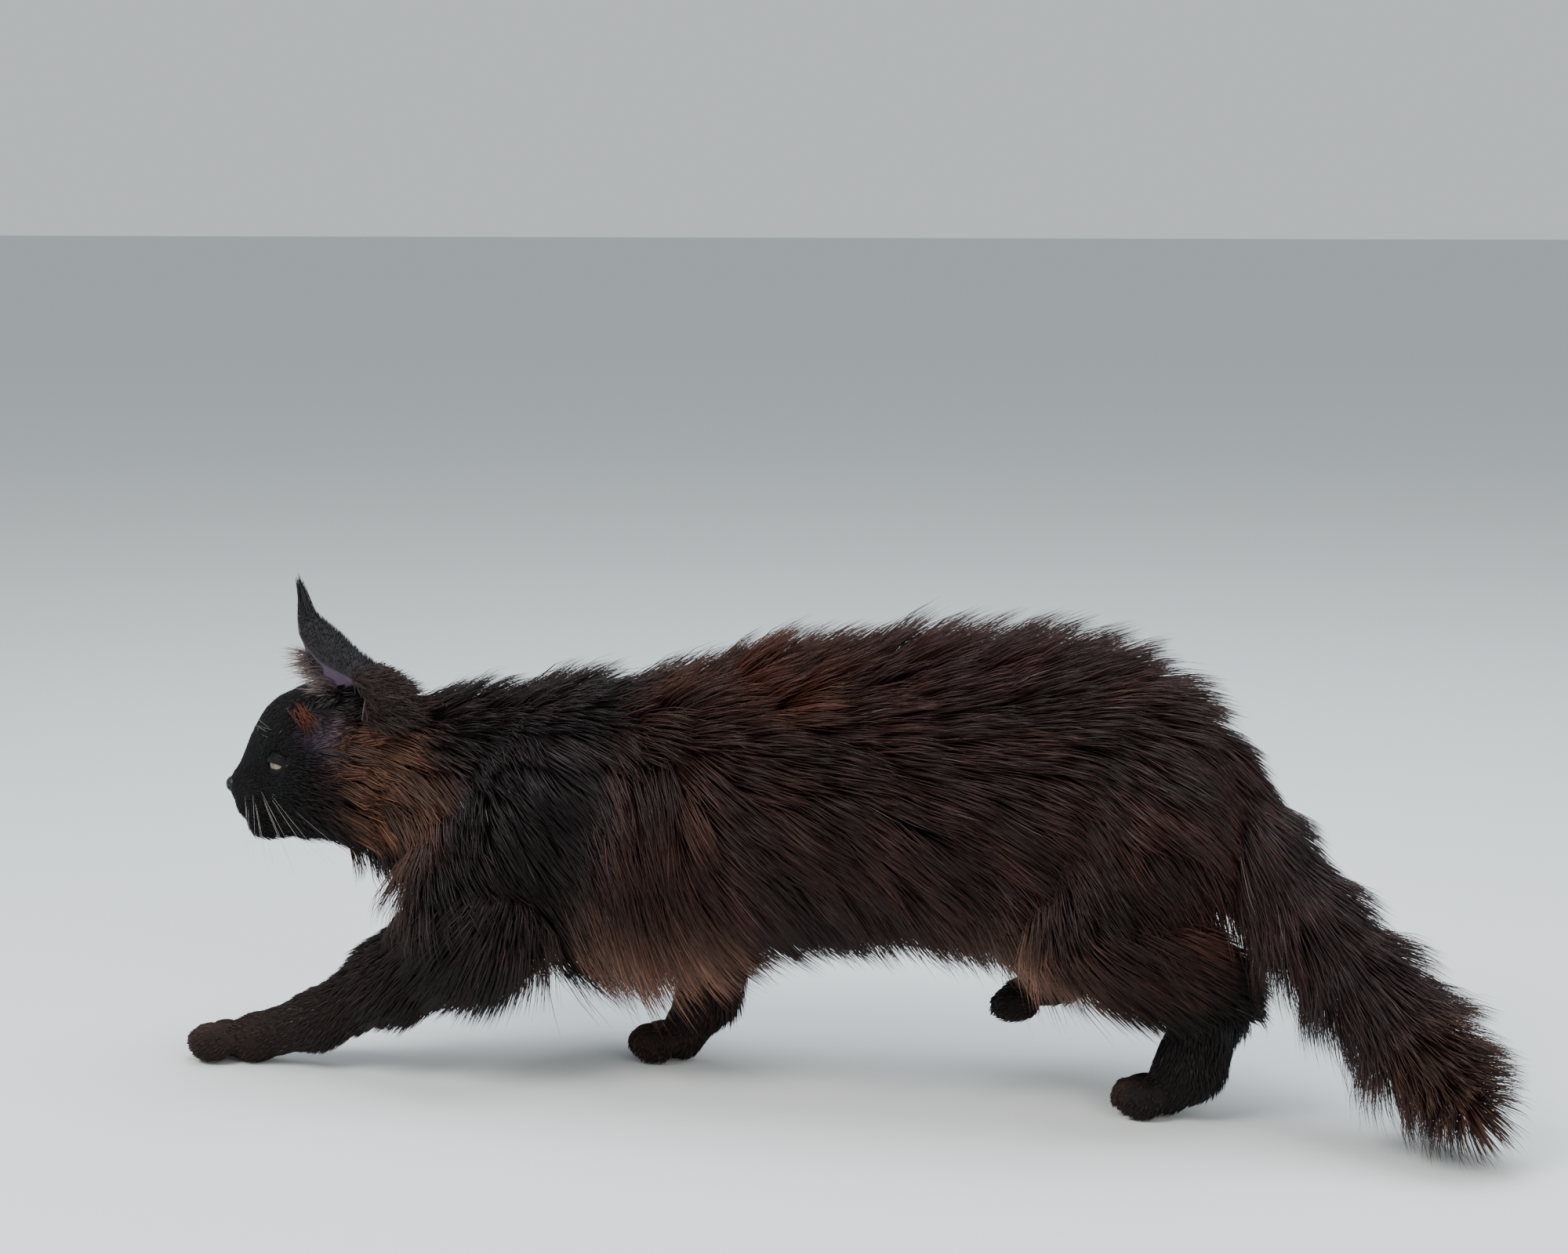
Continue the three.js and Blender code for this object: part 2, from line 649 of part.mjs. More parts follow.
function toePieces(foot) {
  const tilt = new THREE.Matrix4().makeRotationY(radians(-foot.dip));
  const pieces = [];
  for (const place of [-1.5, -0.5, 0.5, 1.5]) {
    const middle = Math.abs(place) < 1;
    const ahead = foot.ahead + (middle ? 3.5 : -2.5);
    const centre = vec(-ahead, place * TOE_SPREAD, -2).applyMatrix4(tilt).add(foot.heel);
    pieces.push(roundEgg(centre, TOE_HALF, 6, 4, tilt));
  }
  return pieces;
}

// One closed skin for each bone of the leg, swelling a little where it blends into the next
function legPieces(name) {
  const pieces = legs[name];
  const skins = pieces.map((own) => {
    const distance = (p) => {
      const whole = bodyDistance(p, pieces, SHORT_SHARE);
      return Math.max(whole, boneDistance(p, own, SHORT_SHARE) - JOINT_SWELL);
    };
    const route = [own.from.place, own.to.place];
    const steps = Math.max(2, Math.round(route[0].distanceTo(route[1]) / LEG_STEP));
    return castBody(distance, route, vec(0, 1, 0.1), LEG_SIDES, steps, 1);
  });
  return [...skins, ...toePieces(feet[name])];
}

// Ears

function earPiece(side) {
  const around = 9;
  const outside = [];
  const inside = [];
  for (const level of EAR_LEVELS) {
    const outer = [];
    const inner = [];
    for (let i = 0; i <= around; i += 1) {
      const from = radians(level.outer);
      const to = radians(360 + level.inner);
      const turn = lerp(from, to, i / around);
      const rim = Math.min(i, around - i) === 0 ? 0.5 : 1;
      const thick = Math.min(EAR_THICK, level.half * 0.5) * rim;
      const spot = (less) => vec(
        level.u + (level.half - less) * Math.cos(turn),
        side * (EAR_MIDDLE + (level.across - less) * Math.sin(turn)),
        level.w,
      );
      outer.push(spot(0));
      inner.push(spot(thick));
    }
    outside.push(outer);
    inside.push(inner.reverse());
  }
  const rings = outside.map((ring, i) => [...ring, ...inside[i]]);
  return slabLoft(rings);
}

// Rings joined along their length, each end closed by pairing its outer points with its inner ones
function slabLoft(rings) {
  const count = rings[0].length;
  const points = rings.flat();
  const corners = [];
  for (let r = 1; r < rings.length; r += 1) {
    for (let s = 0; s < count; s += 1) {
      const a = (r - 1) * count + s;
      const b = (r - 1) * count + (s + 1) % count;
      corners.push(a, b, a + count, b, b + count, a + count);
    }
  }
  const last = (rings.length - 1) * count;
  for (let s = 0; s < count / 2 - 1; s += 1) {
    const a = s;
    const b = s + 1;
    const c = count - 1 - s;
    const d = count - 2 - s;
    corners.push(a, c, b, b, c, d);
    corners.push(last + a, last + b, last + c, last + b, last + d, last + c);
  }
  return facingOut({ points, corners });
}

// Head

const HEAD_SIDES = 20;
const HEAD_STEPS = 9;
const HEAD_FAN = 3;            // rings of rays that close each end of the head
const headTips = (p) => bodyDistance(p, head, SHORT_SHARE);

function headPiece() {
  const route = [vec(-18, 0, 8), vec(0, 0, 6), vec(20, 0, 2), vec(36, 0, -3), vec(50, 0, -6)];
  return castBody(headTips, route, UP, HEAD_SIDES, HEAD_STEPS, HEAD_FAN);
}

// The cheeks and the back of the head carry the front of the ruff
function headLocks() {
  const draw = drawsFrom(37);
  const pieces = [];
  for (const side of [1, -1]) {
    for (const [u, v, w] of RUFF_ROOTS) {
      const origin = vec(-4, 0, -4);
      const out = vec(u, v * side, w).sub(origin).normalize();
      const root = castOut(headTips, origin, out);
      const coat = coatAt(headGuides, root);
      coat.length *= draw(0.9, 1.15);
      const depth = coat.length * Math.sin(coat.lift) * 0.8;
      pieces.push(lockPiece(root, outwardOf(headTips, root), coat, depth, LOCK_WIDTH * draw(0.6, 0.8)));
    }
  }
  return pieces;
}

function eyeMatrix(side) {
  const turn = new THREE.Matrix4().makeRotationZ(radians(EYE_OUTWARD * side));
  return turn.setPosition(vec(EYE_PLACE.x, EYE_PLACE.y * side, EYE_PLACE.z));
}

function ball(radius, side) {
  return moved(roundEgg(vec(0, 0, 0), vec(radius, radius, radius), 12, 8), eyeMatrix(side));
}

// The opening between the lids: a lens drawn by two arcs and pushed out along the look of the eye
function lidOpening(side) {
  const outline = [];
  const steps = 6;
  for (let i = 0; i < steps; i += 1) {
    const t = (i / steps) * 2 - 1;
    outline.push([t * LID_OPEN_WIDE, LID_OPEN_TALL * (1 - t * t)]);
  }
  for (let i = 0; i < steps; i += 1) {
    const t = 1 - (i / steps) * 2;
    outline.push([t * LID_OPEN_WIDE, -LID_OPEN_TALL * 0.8 * (1 - t * t)]);
  }
  const tilt = radians(LID_TILT * side);
  const ringAt = (x) => outline.map(([y, z]) => vec(
    x,
    y * Math.cos(tilt) - z * Math.sin(tilt),
    y * Math.sin(tilt) + z * Math.cos(tilt),
  ));
  return moved(loft([ringAt(4), ringAt(30)], vec(4, 0, 0), vec(30, 0, 0)), eyeMatrix(side));
}

// A thin round groove along a line on the skin
function groove(route, radius) {
  const curve = new THREE.CatmullRomCurve3(route);
  const steps = route.length + 2;
  const rings = [];
  for (let i = 0; i <= steps; i += 1) {
    const place = curve.getPointAt(i / steps);
    const axis = curve.getTangentAt(i / steps);
    const across = axis.clone().cross(vec(0.3, 0, 1)).normalize();
    const top = across.clone().cross(axis);
    const ring = [];
    for (let s = 0; s < 5; s += 1) {
      const turn = (s / 5) * Math.PI * 2;
      ring.push(place.clone()
        .addScaledVector(across, Math.cos(turn) * radius)
        .addScaledVector(top, Math.sin(turn) * radius));
    }
    rings.push(ring);
  }
  return loft(rings, route[0].clone(), route[route.length - 1].clone());
}

// The place on the head that is seen from inside the muzzle towards u, v, w
function onHead(u, v, w) {
  const origin = vec(40, 0, -8);
  const direction = vec(u, v, w).sub(origin).normalize();
  return castOut(headTips, origin, direction);
}

function mouthLine() {
  const cornerToLip = (side) => [
    onHead(70, 0.4 * side, -15),
    onHead(68, 7 * side, -19),
    onHead(60, 15 * side, -20),
    onHead(50, 20 * side, -17),
    onHead(43, 24 * side, -17),
  ];
  const philtrum = [onHead(74, 0, -2), onHead(74, 0, -8), onHead(72, 0, -15)];
  return [groove(cornerToLip(1), 0.9), groove(cornerToLip(-1), 0.9), groove(philtrum, 0.7)];
}

function nosePieces() {
  const body = roundEgg(NOSE_PLACE, NOSE_HALF, 12, 6);
  const nostrils = pair((side) => {
    const lean = new THREE.Matrix4().makeRotationX(radians(35 * side));
    return roundEgg(NOSE_PLACE.clone().add(vec(3, 3.6 * side, -0.8)), vec(2.2, 1.5, 0.8), 6, 4, lean);
  });
  return { body, nostrils };
}

// Everything together. What comes first is whole, and what it crosses later is cut clear of it.

const nodes = new Map();
const grownOf = (pieces) => joined(pieces.map((piece) => grown(piece)));
const inCat = (pieces) => pieces.map((piece) => moved(piece, headToCat));

const headPieces = inCat([headPiece(), ...headLocks()]);
const headGrown = grownOf(headPieces);

const nose = nosePieces();
let noseSolid = solid(moved(nose.body, headToCat));
for (const nostril of inCat(nose.nostrils)) noseSolid = noseSolid.subtract(solid(nostril));
nodes.set('nose', noseSolid);

let headSolid = joined(headPieces);
for (const line of inCat(mouthLine())) headSolid = headSolid.subtract(solid(line));
headSolid = headSolid.subtract(solid(grown(moved(nose.body, headToCat))));
for (const [name, side] of [['eye_left', 1], ['eye_right', -1]]) {
  const [eyeball, lid, socket, opening] = inCat([
    ball(EYE_RADIUS, side),
    ball(EYE_RADIUS + GAP + LID_THICKNESS, side),
    ball(EYE_RADIUS + GAP, side),
    lidOpening(side),
  ]).map(solid);
  headSolid = headSolid.add(lid).subtract(socket).subtract(opening);
  nodes.set(name, eyeball);
}
nodes.set('head', largest(headSolid));

const trunkPieces = [trunkPiece(), ...trunkLocks()];
const trunkGrown = grownOf(trunkPieces);
for (const [name, side] of [['ear_left', 1], ['ear_right', -1]]) {
  const ear = solid(moved(earPiece(side), headToCat));
  nodes.set(name, largest(ear.subtract(headGrown).subtract(trunkGrown)));
}

let trunkSolid = joined(trunkPieces).subtract(headGrown);
for (const name of Object.keys(legs)) {
  const pieces = legPieces(name);
  nodes.set(`leg_${name}`, keepPast(largest(joined(pieces)), UP, FLOOR));
  trunkSolid = trunkSolid.subtract(grownOf(pieces));
}

const tailPieces = [tailPiece(), ...tailLocks()];
trunkSolid = trunkSolid.subtract(grownOf(tailPieces));
for (const [name, body] of trunkNodes(trunkSolid)) nodes.set(name, body);
let tailSolid = joined(tailPieces);
for (const name of ['leg_rear_left', 'leg_rear_right']) {
  tailSolid = tailSolid.subtract(grownOf(legPieces(name.replace('leg_', ''))));
}
tailSolid = keepPast(largest(tailSolid), UP, FLOOR);
for (const [name, body] of tailNodes(tailSolid)) nodes.set(name, body);

// Colours and the finished group

const looks = {
  coat: { color: '#2a1c19', roughness: 0.75, metalness: 0 },
  face: { color: '#1b1416', roughness: 0.75, metalness: 0 },
  legs: { color: '#1d1516', roughness: 0.8, metalness: 0 },
  tail: { color: '#3a231b', roughness: 0.75, metalness: 0 },
  ear: { color: '#5a4c5c', roughness: 0.6, metalness: 0 },
  eye: { color: '#b9a67c', roughness: 0.1, metalness: 0 },
  nose: { color: '#2b2022', roughness: 0.45, metalness: 0 },
};

function lookOf(name) {
  if (name.startsWith('tail')) return looks.tail;
  if (name.startsWith('leg')) return looks.legs;
  if (name.startsWith('ear')) return looks.ear;
  if (name.startsWith('eye')) return looks.eye;
  if (name === 'nose') return looks.nose;
  if (name === 'head') return looks.face;
  return looks.coat;
}

function meshOf(name, body) {
  const { vertProperties, triVerts, numProp } = body.simplify(SLIVER).getMesh();
  const positions = new Float32Array(vertProperties.length / numProp * 3);
  for (let i = 0; i < positions.length / 3; i += 1) {
    for (let k = 0; k < 3; k += 1) positions[i * 3 + k] = vertProperties[i * numProp + k];
  }
  const geometry = new THREE.BufferGeometry();
  geometry.setAttribute('position', new THREE.BufferAttribute(positions, 3));
  geometry.setIndex(new THREE.BufferAttribute(new Uint32Array(triVerts), 1));
  geometry.translate(-FRAME_X, -FRAME_Y, 0);
  geometry.computeVertexNormals();
  const mesh = new THREE.Mesh(geometry, new THREE.MeshStandardMaterial(lookOf(name)));
  mesh.name = name;
  return mesh;
}

const cat = new THREE.Group();
for (const [name, body] of nodes) cat.add(meshOf(name, body));

export default cat;
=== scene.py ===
# %% [markdown]
# # A maine coon cat in a slinking walk
# The cat is built at life size. Its skin is one closed surface drawn from a skeleton of
# flesh, and its coat is made of thin tapered tufts that follow the lie of the hair.
# Sizes are in millimetres, with X from the nose to the tail, Y to the cat's right and Z up,
# and they are turned into metres when a mesh is made.

import math

import bpy
import numpy as np
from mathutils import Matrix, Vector, kdtree


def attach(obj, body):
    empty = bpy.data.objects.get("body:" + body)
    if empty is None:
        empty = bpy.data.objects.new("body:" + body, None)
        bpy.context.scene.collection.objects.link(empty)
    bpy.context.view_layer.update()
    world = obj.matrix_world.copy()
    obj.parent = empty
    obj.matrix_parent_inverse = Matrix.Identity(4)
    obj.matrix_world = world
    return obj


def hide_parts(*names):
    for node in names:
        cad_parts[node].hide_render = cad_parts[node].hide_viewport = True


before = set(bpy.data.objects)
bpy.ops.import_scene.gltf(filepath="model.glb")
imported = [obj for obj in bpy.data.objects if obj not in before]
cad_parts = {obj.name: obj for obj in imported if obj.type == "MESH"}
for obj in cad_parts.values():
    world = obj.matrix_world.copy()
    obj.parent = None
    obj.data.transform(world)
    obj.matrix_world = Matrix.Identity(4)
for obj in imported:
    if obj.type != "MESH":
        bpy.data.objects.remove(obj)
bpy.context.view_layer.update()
print("nodes", len(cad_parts))

MM = 0.001
MIDDLE = np.array([376.0, -22.0, 0.0])      # middle of the whole cat, from the left forefoot
rng = np.random.default_rng(7)


# %% [markdown]
# ## The skeleton of flesh
# A cat's body is soft masses over bones, with no straight edge anywhere. It could be sculpted
# from a ball, but distances give the same body in a few lines that can be measured. A bone is
# two places, each with a radius of flesh. An egg is a centre with three half sizes. Their
# distances blend into one body, and the skin is where that distance is zero.

# %% Distances
def smooth_min(a, b, blend):
    h = np.maximum(blend - np.abs(a - b), 0) / blend
    return np.minimum(a, b) - h * h * blend * 0.25


def bone(start, end, radii, blend=12.0, squash=1.0):
    return {"start": np.array(start, float), "end": np.array(end, float),
            "radii": radii, "blend": blend, "squash": squash}


def egg(centre, half, blend=8.0):
    return {"centre": np.array(centre, float), "half": np.array(half, float), "blend": blend}


def piece_distance(p, piece):
    if "centre" in piece:
        q = (p - piece["centre"]) / piece["half"]
        return (np.sqrt((q * q).sum(-1)) - 1) * piece["half"].min()
    scale = np.array([1.0, piece["squash"], 1.0])
    a = piece["start"] * scale
    b = piece["end"] * scale - a
    q = p * scale - a
    t = np.clip((q @ b) / (b @ b), 0, 1)
    radius = piece["radii"][0] + (piece["radii"][1] - piece["radii"][0]) * t
    away = q - t[..., None] * b
    return np.sqrt((away * away).sum(-1)) - radius


def body_distance(p, pieces):
    distance = np.full(p.shape[:-1], 1e3)
    for piece in pieces:
        distance = smooth_min(distance, piece_distance(p, piece), piece["blend"])
    return distance


probe = np.array([[30.0, 0.0, 0.0]])
ball_of_ten = egg((0, 0, 0), (10, 10, 10))
print("from a ball of 10 mm to a place at 30 mm:", piece_distance(probe, ball_of_ten), "mm")

# %% [markdown]
# ## Trunk and tail
# Under the coat the cat has a deep narrow ribcage, flat shoulder blades and heavy thighs.
# They could be sculpted by hand, but a few tapered bones are easy to read and to move. The
# same bones draw the solids. A squash narrows the trunk from side to side.

# %% Bones of the trunk and the tail
TRUNK_SQUASH = 1.22
TRUNK = [
    ((98, -4, 186), 36), ((150, -1, 176), 47), ((205, 0, 167), 63), ((265, 0, 166), 66),
    ((340, 0, 178), 69), ((420, 0, 186), 69), ((490, 0, 190), 66), ((545, 0, 194), 57),
    ((584, 0, 192), 36),
]
TAIL = [
    ((600, 0, 206), 15), ((627, -8, 170), 13), ((656, -25, 133), 12),
    ((684, -42, 101), 11), ((716, -62, 67), 10), ((750, -87, 38), 7),
]


def chain(stations, blend, squash=1.0):
    return [bone(a, b, (ra, rb), blend, squash)
            for (a, ra), (b, rb) in zip(stations, stations[1:])]


trunk_pieces = chain(TRUNK, 12, TRUNK_SQUASH) + [
    bone((205, -40, 205), (150, -40, 128), (16, 27), 30),
    bone((205, 40, 205), (225, 40, 132), (16, 27), 30),
    bone((562, -32, 178), (532, -42, 128), (31, 25), 30),
    bone((562, 32, 178), (515, 40, 130), (31, 25), 30),
]
tail_pieces = chain(TAIL, 10)
print("bones of the trunk", len(trunk_pieces), "and of the tail", len(tail_pieces))

# %% [markdown]
# ## Legs and feet
# A walking cat stands on its toes, with the heel of the hind foot well behind them. Each leg
# is a chain of tapered bones and each foot ends in four eggs, one for each toe. One lump
# would be quicker, but separate eggs with a narrow blend keep the clefts between the toes.
# The two near legs are a little fuller than in the solids, for the depth of their fur.

# %% Bones of the legs, and the toes
LEGS = {
    "front_left": [((168, -44, 108), 29), ((150, -43, 91), 28), ((102, -37, 60), 21.5),
                   ((52, -31, 30), 16), ((8, -28, 15), 14)],
    "front_right": [((262, 44, 118), 26), ((293, 41, 96), 20), ((287, 30, 42), 15.5),
                    ((271, 28, 16), 14)],
    "rear_left": [((536, -43, 118), 26), ((606, -32, 76), 20), ((593, -29, 31), 17),
                  ((580, -28, 16), 14)],
    "rear_right": [((512, 41, 118), 25), ((546, 31, 84), 15), ((508, 29, 66), 12),
                   ((496, 28, 62), 13)],
}
FEET = {
    "front_left": ((6, -28, 14), 24, 0), "front_right": ((268, 28, 14), 14, 0),
    "rear_left": ((578, -28, 14), 14, 0), "rear_right": ((494, 28, 61), 15, 38),
}
TOE_HALF = (13.5, 5.3, 10.0)
TOE_SPREAD = 9.4


def toes(heel, ahead, dip):
    turn = math.radians(dip)
    eggs = []
    for place in (-1.5, -0.5, 0.5, 1.5):
        reach = ahead + (3.5 if abs(place) < 1 else -2.5)
        x = -reach * math.cos(turn) + 2 * math.sin(turn)
        z = -reach * math.sin(turn) - 2 * math.cos(turn)
        eggs.append(egg((heel[0] + x, heel[1] + place * TOE_SPREAD, heel[2] + z), TOE_HALF, 1.5))
    return eggs


leg_pieces = {name: chain(stations, 12) + toes(*FEET[name]) for name, stations in LEGS.items()}
# the flat top of the paw that reaches ahead
leg_pieces["front_left"].append(bone((8, -28, 15), (-12, -28, 12), (14, 8), 6))
print("pieces in each leg", {name: len(pieces) for name, pieces in leg_pieces.items()})

# %% [markdown]
# ## The head
# The cat carries its head low, turned a little towards the viewer with its left side up and
# the nose down. A head is easiest to draw when it is level, so it has a frame of its own,
# u ahead, v to its left and w up, and one function takes places from that frame to the cat.

# %% The head's frame
HEAD_PLACE = np.array([60.0, -6.0, 190.0])
HEAD_YAW, HEAD_ROLL, HEAD_PITCH = 20.0, 10.0, 15.0


def head_axes():
    yaw, roll, pitch = (math.radians(a) for a in (HEAD_YAW, HEAD_ROLL, HEAD_PITCH))
    level = np.array([-math.cos(yaw), -math.sin(yaw), 0])
    left = np.array([math.sin(yaw), -math.cos(yaw), 0]) * math.cos(roll)
    left = left + np.array([0, 0, math.sin(roll)])
    raised = np.cross(level, left)
    ahead = level * math.cos(pitch) - raised * math.sin(pitch)
    up = raised * math.cos(pitch) + level * math.sin(pitch)
    return np.array([ahead, left, up])


HEAD_AXES = head_axes()


def to_head(p):
    return (np.asarray(p, float) - HEAD_PLACE) @ HEAD_AXES.T


def from_head(p):
    return np.asarray(p, float) @ HEAD_AXES + HEAD_PLACE


print("the head looks along", HEAD_AXES[0].round(2), "from", HEAD_PLACE)

# %% [markdown]
# ## Skull and muzzle
# The type has a long square muzzle, a strong chin and high cheekbones. Eggs and short bones
# give those masses. The sockets and the line of the mouth are taken away from the distance,
# which cuts them with a crisp edge that a blend or a bump map would lose.

# %% Skull, muzzle, cheeks and brows
def pair(make):
    return [make(1), make(-1)]


head_pieces = [
    egg((2, 0, 13), (46, 36, 38), 6),
    bone((24, 0, 28), (60, 0, 5), (14, 7), 14),
    bone((36, 0, -9), (50, 0, -8), (24, 16), 12),
    bone((18, 0, -14), (46, 0, -19), (22, 13), 12),
    *pair(lambda s: egg((55, 9.5 * s, -9), (13, 10.5, 11.5), 5)),
    egg((53, 0, -25), (10.5, 10, 7.5), 6),
    egg((60.5, 0, 1.5), (7.5, 8.5, 8), 5),
    *pair(lambda s: egg((10, 24 * s, -6), (27, 19, 25), 14)),
    *pair(lambda s: bone((22, 20 * s, 22), (34, 15 * s, 21), (9, 7), 12)),
]
EYE_PLACE = np.array([31.0, 21.5, 8.0])
EYE_RADIUS = 10.5
EYE_OUTWARD = 34                            # degrees that each eye looks away from straight ahead
SOCKET_GAP = 0.6
NOSE_PLACE = np.array([66.4, 0, 4.5])

# The line of the mouth runs from under the nose to each corner.
mouth_pieces = [bone((72, 0, 0), (71, 0, -14), (0.9, 0.9), 1)]
for side in (1, -1):
    route = [(70.5, 0.5 * side, -14.5), (68, 7 * side, -18.5), (60, 16 * side, -20.5),
             (50, 21 * side, -19), (43, 24 * side, -17)]
    mouth_pieces += [bone(a, b, (1.5, 1.4), 1) for a, b in zip(route, route[1:])]


def head_skin(p):
    """Distance to the head with eye sockets and the mouth line sunk in, p in the cat's frame."""
    q = to_head(p)
    distance = body_distance(q, head_pieces)
    for side in (1, -1):
        socket = np.sqrt(((q - EYE_PLACE * [1, side, 1]) ** 2).sum(-1))
        socket -= EYE_RADIUS + SOCKET_GAP
        distance = np.maximum(distance, -socket)
    return np.maximum(distance, -body_distance(q, mouth_pieces))


print("pieces of the head", len(head_pieces), "and bones of the mouth line", len(mouth_pieces))

# %% [markdown]
# ## A grid of distances
# The hide of a cat has no seams, so one skin covers trunk, head, legs and tail. Metaballs or
# a voxel remesh could join them, but a grid that is finer over the head keeps the face sharp
# without heavy flanks. Each piece is only measured where it can touch.

# %% Grid of distances
HEAD_CELL, BODY_CELL, CROSS_CELL = 1.5, 3.2, 2.0
HEAD_END_X = 95
GRID_LOW, GRID_HIGH = (-36, -112, -4), (772, 96, 270)
HEAD_LOW, HEAD_HIGH, HEAD_BLEND = (-36, -75, 120), (130, 60, 262), 10
EGG_MARGIN, BONE_MARGIN = 20, 22
FAR_AWAY = 60.0


def grid_axes():
    front = np.arange(GRID_LOW[0], HEAD_END_X, HEAD_CELL)
    back = np.arange(HEAD_END_X, GRID_HIGH[0], BODY_CELL)
    ys, zs = (np.arange(GRID_LOW[i], GRID_HIGH[i], CROSS_CELL) for i in (1, 2))
    return np.concatenate([front, back]), ys, zs


def reach_of(piece):
    """Lowest and highest corner that a piece can touch."""
    if "centre" in piece:
        half = piece["half"] + EGG_MARGIN
        return piece["centre"] - half, piece["centre"] + half
    ends = np.array([piece["start"], piece["end"]])
    margin = max(piece["radii"]) + BONE_MARGIN
    return ends.min(0) - margin, ends.max(0) + margin


def skin_grid():
    xs, ys, zs = grid_axes()
    field = np.full((len(xs), len(ys), len(zs)), FAR_AWAY)

    def part(low, high):
        spans = [slice(*np.searchsorted(axis, ends)) for axis, ends in zip((xs, ys, zs), zip(low, high))]
        grid = np.meshgrid(xs[spans[0]], ys[spans[1]], zs[spans[2]], indexing="ij")
        return tuple(spans), np.stack(grid, -1)

    for piece in trunk_pieces + tail_pieces + [q for qs in leg_pieces.values() for q in qs]:
        spans, points = part(*reach_of(piece))
        field[spans] = smooth_min(field[spans], piece_distance(points, piece), piece["blend"])
    spans, points = part(HEAD_LOW, HEAD_HIGH)
    field[spans] = smooth_min(field[spans], head_skin(points), HEAD_BLEND)
    return xs, ys, zs, field


grid = skin_grid()
print("places on the grid", grid[3].size)

# %% [markdown]
# ## From the grid to a net
# Each cell that the surface crosses gets one point, the mean of its crossings, and the four
# cells round each crossed edge make a face. This gives even quads that hair can be scattered
# on, where marching cubes would give slivers.

# %% Net of faces
SOLE_GAP = 0.8                              # the skin stays this far off the floor


def net(xs, ys, zs, field):
    """Points and faces of the surface where the field is zero."""
    inside = field < 0
    corners = [(a, b, c) for a in (0, 1) for b in (0, 1) for c in (0, 1)]
    nx, ny, nz = field.shape
    window = lambda g, o: g[o[0]:nx - 1 + o[0], o[1]:ny - 1 + o[1], o[2]:nz - 1 + o[2]]
    count = sum(window(inside, o).astype(int) for o in corners)
    cell = np.argwhere((count > 0) & (count < 8))
    index = np.full((nx - 1, ny - 1, nz - 1), -1)
    index[tuple(cell.T)] = np.arange(len(cell))
    total = np.zeros((len(cell), 3))
    hits = np.zeros(len(cell))
    for i, a in enumerate(corners):
        for b in corners[i + 1:]:
            if sum(abs(m - n) for m, n in zip(a, b)) != 1:
                continue
            ia, ib = cell + a, cell + b
            va, vb = field[tuple(ia.T)], field[tuple(ib.T)]
            crossed = (va < 0) != (vb < 0)
            t = np.where(crossed, va / np.where(crossed, va - vb, 1), 0)[:, None]
            pa = np.stack([xs[ia[:, 0]], ys[ia[:, 1]], zs[ia[:, 2]]], -1)
            pb = np.stack([xs[ib[:, 0]], ys[ib[:, 1]], zs[ib[:, 2]]], -1)
            total += np.where(crossed[:, None], pa + (pb - pa) * t, 0)
            hits += crossed
    points = total / hits[:, None]
    faces = []
    for axis in range(3):
        step = np.eye(3, dtype=int)[axis]
        u, v = np.eye(3, dtype=int)[(axis + 1) % 3], np.eye(3, dtype=int)[(axis + 2) % 3]
        first = inside[1:-1, 1:-1, 1:-1]
        after = inside[tuple(slice(1 + s, size - 1 + s) for s, size in zip(step, field.shape))]
        edge = np.argwhere(first != after) + 1
        quad = np.stack([index[tuple((edge + o).T)] for o in (-u - v, -v, 0 * u, -u)], -1)
        out = inside[tuple(edge.T)]
        faces.append(np.where(out[:, None], quad, quad[:, ::-1]))
    return points, np.concatenate(faces)


skin_points, skin_faces = net(*grid)
skin_points[:, 2] = np.maximum(skin_points[:, 2], SOLE_GAP)
print("skin points", len(skin_points), "faces", len(skin_faces))

# %% [markdown]
# ## Meshes from arrays
# Skin and coat hold many thousands of points, so one function fills each mesh from arrays,
# which is far quicker than face by face. Colours are painted per point in an attribute, in
# the same way on skin and coat, so that the markings run through both.

# %% Making a mesh
def make_mesh(name, points, faces, material, colours=None, patches=None):
    """A plain mesh object from points in millimetres, with smooth faces."""
    mesh = bpy.data.meshes.new(name)
    sides = faces.shape[1]
    mesh.vertices.add(len(points))
    mesh.vertices.foreach_set("co", ((points - MIDDLE) * MM).astype(np.float32).ravel())
    mesh.loops.add(len(faces) * sides)
    mesh.loops.foreach_set("vertex_index", faces.astype(np.int32).ravel())
    mesh.polygons.add(len(faces))
    mesh.polygons.foreach_set("loop_start", np.arange(0, len(faces) * sides, sides, dtype=np.int32))
    mesh.polygons.foreach_set("use_smooth", np.ones(len(faces), bool))
    mesh.update(calc_edges=True)
    if colours is not None:
        paint = mesh.color_attributes.new("Coat", "FLOAT_COLOR", "POINT")
        rgba = np.concatenate([colours, np.ones((len(colours), 1))], 1)
        paint.data.foreach_set("color", rgba.astype(np.float32).ravel())
    if patches is not None:
        layer = mesh.uv_layers.new(name="OFBake")
        layer.data.foreach_set("uv", patches[faces.ravel()].astype(np.float32).ravel())
    mesh.materials.append(material)
    obj = bpy.data.objects.new(name, mesh)
    bpy.context.scene.collection.objects.link(obj)
    return obj


def belongs(obj, slot, *nodes):
    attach(obj, "root")
    if nodes:
        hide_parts(*nodes)


print("a mesh is drawn in millimetres and made in metres, from the middle", MIDDLE)

# %% [markdown]
# ## Materials
# Hair, hide and damp leather are keratin or skin, so none of them is metal, and they differ
# in how rough they are and how much light they throw back. The colour of the coat is painted
# on the points. An image could hold it too, but an attribute needs no unwrapping.

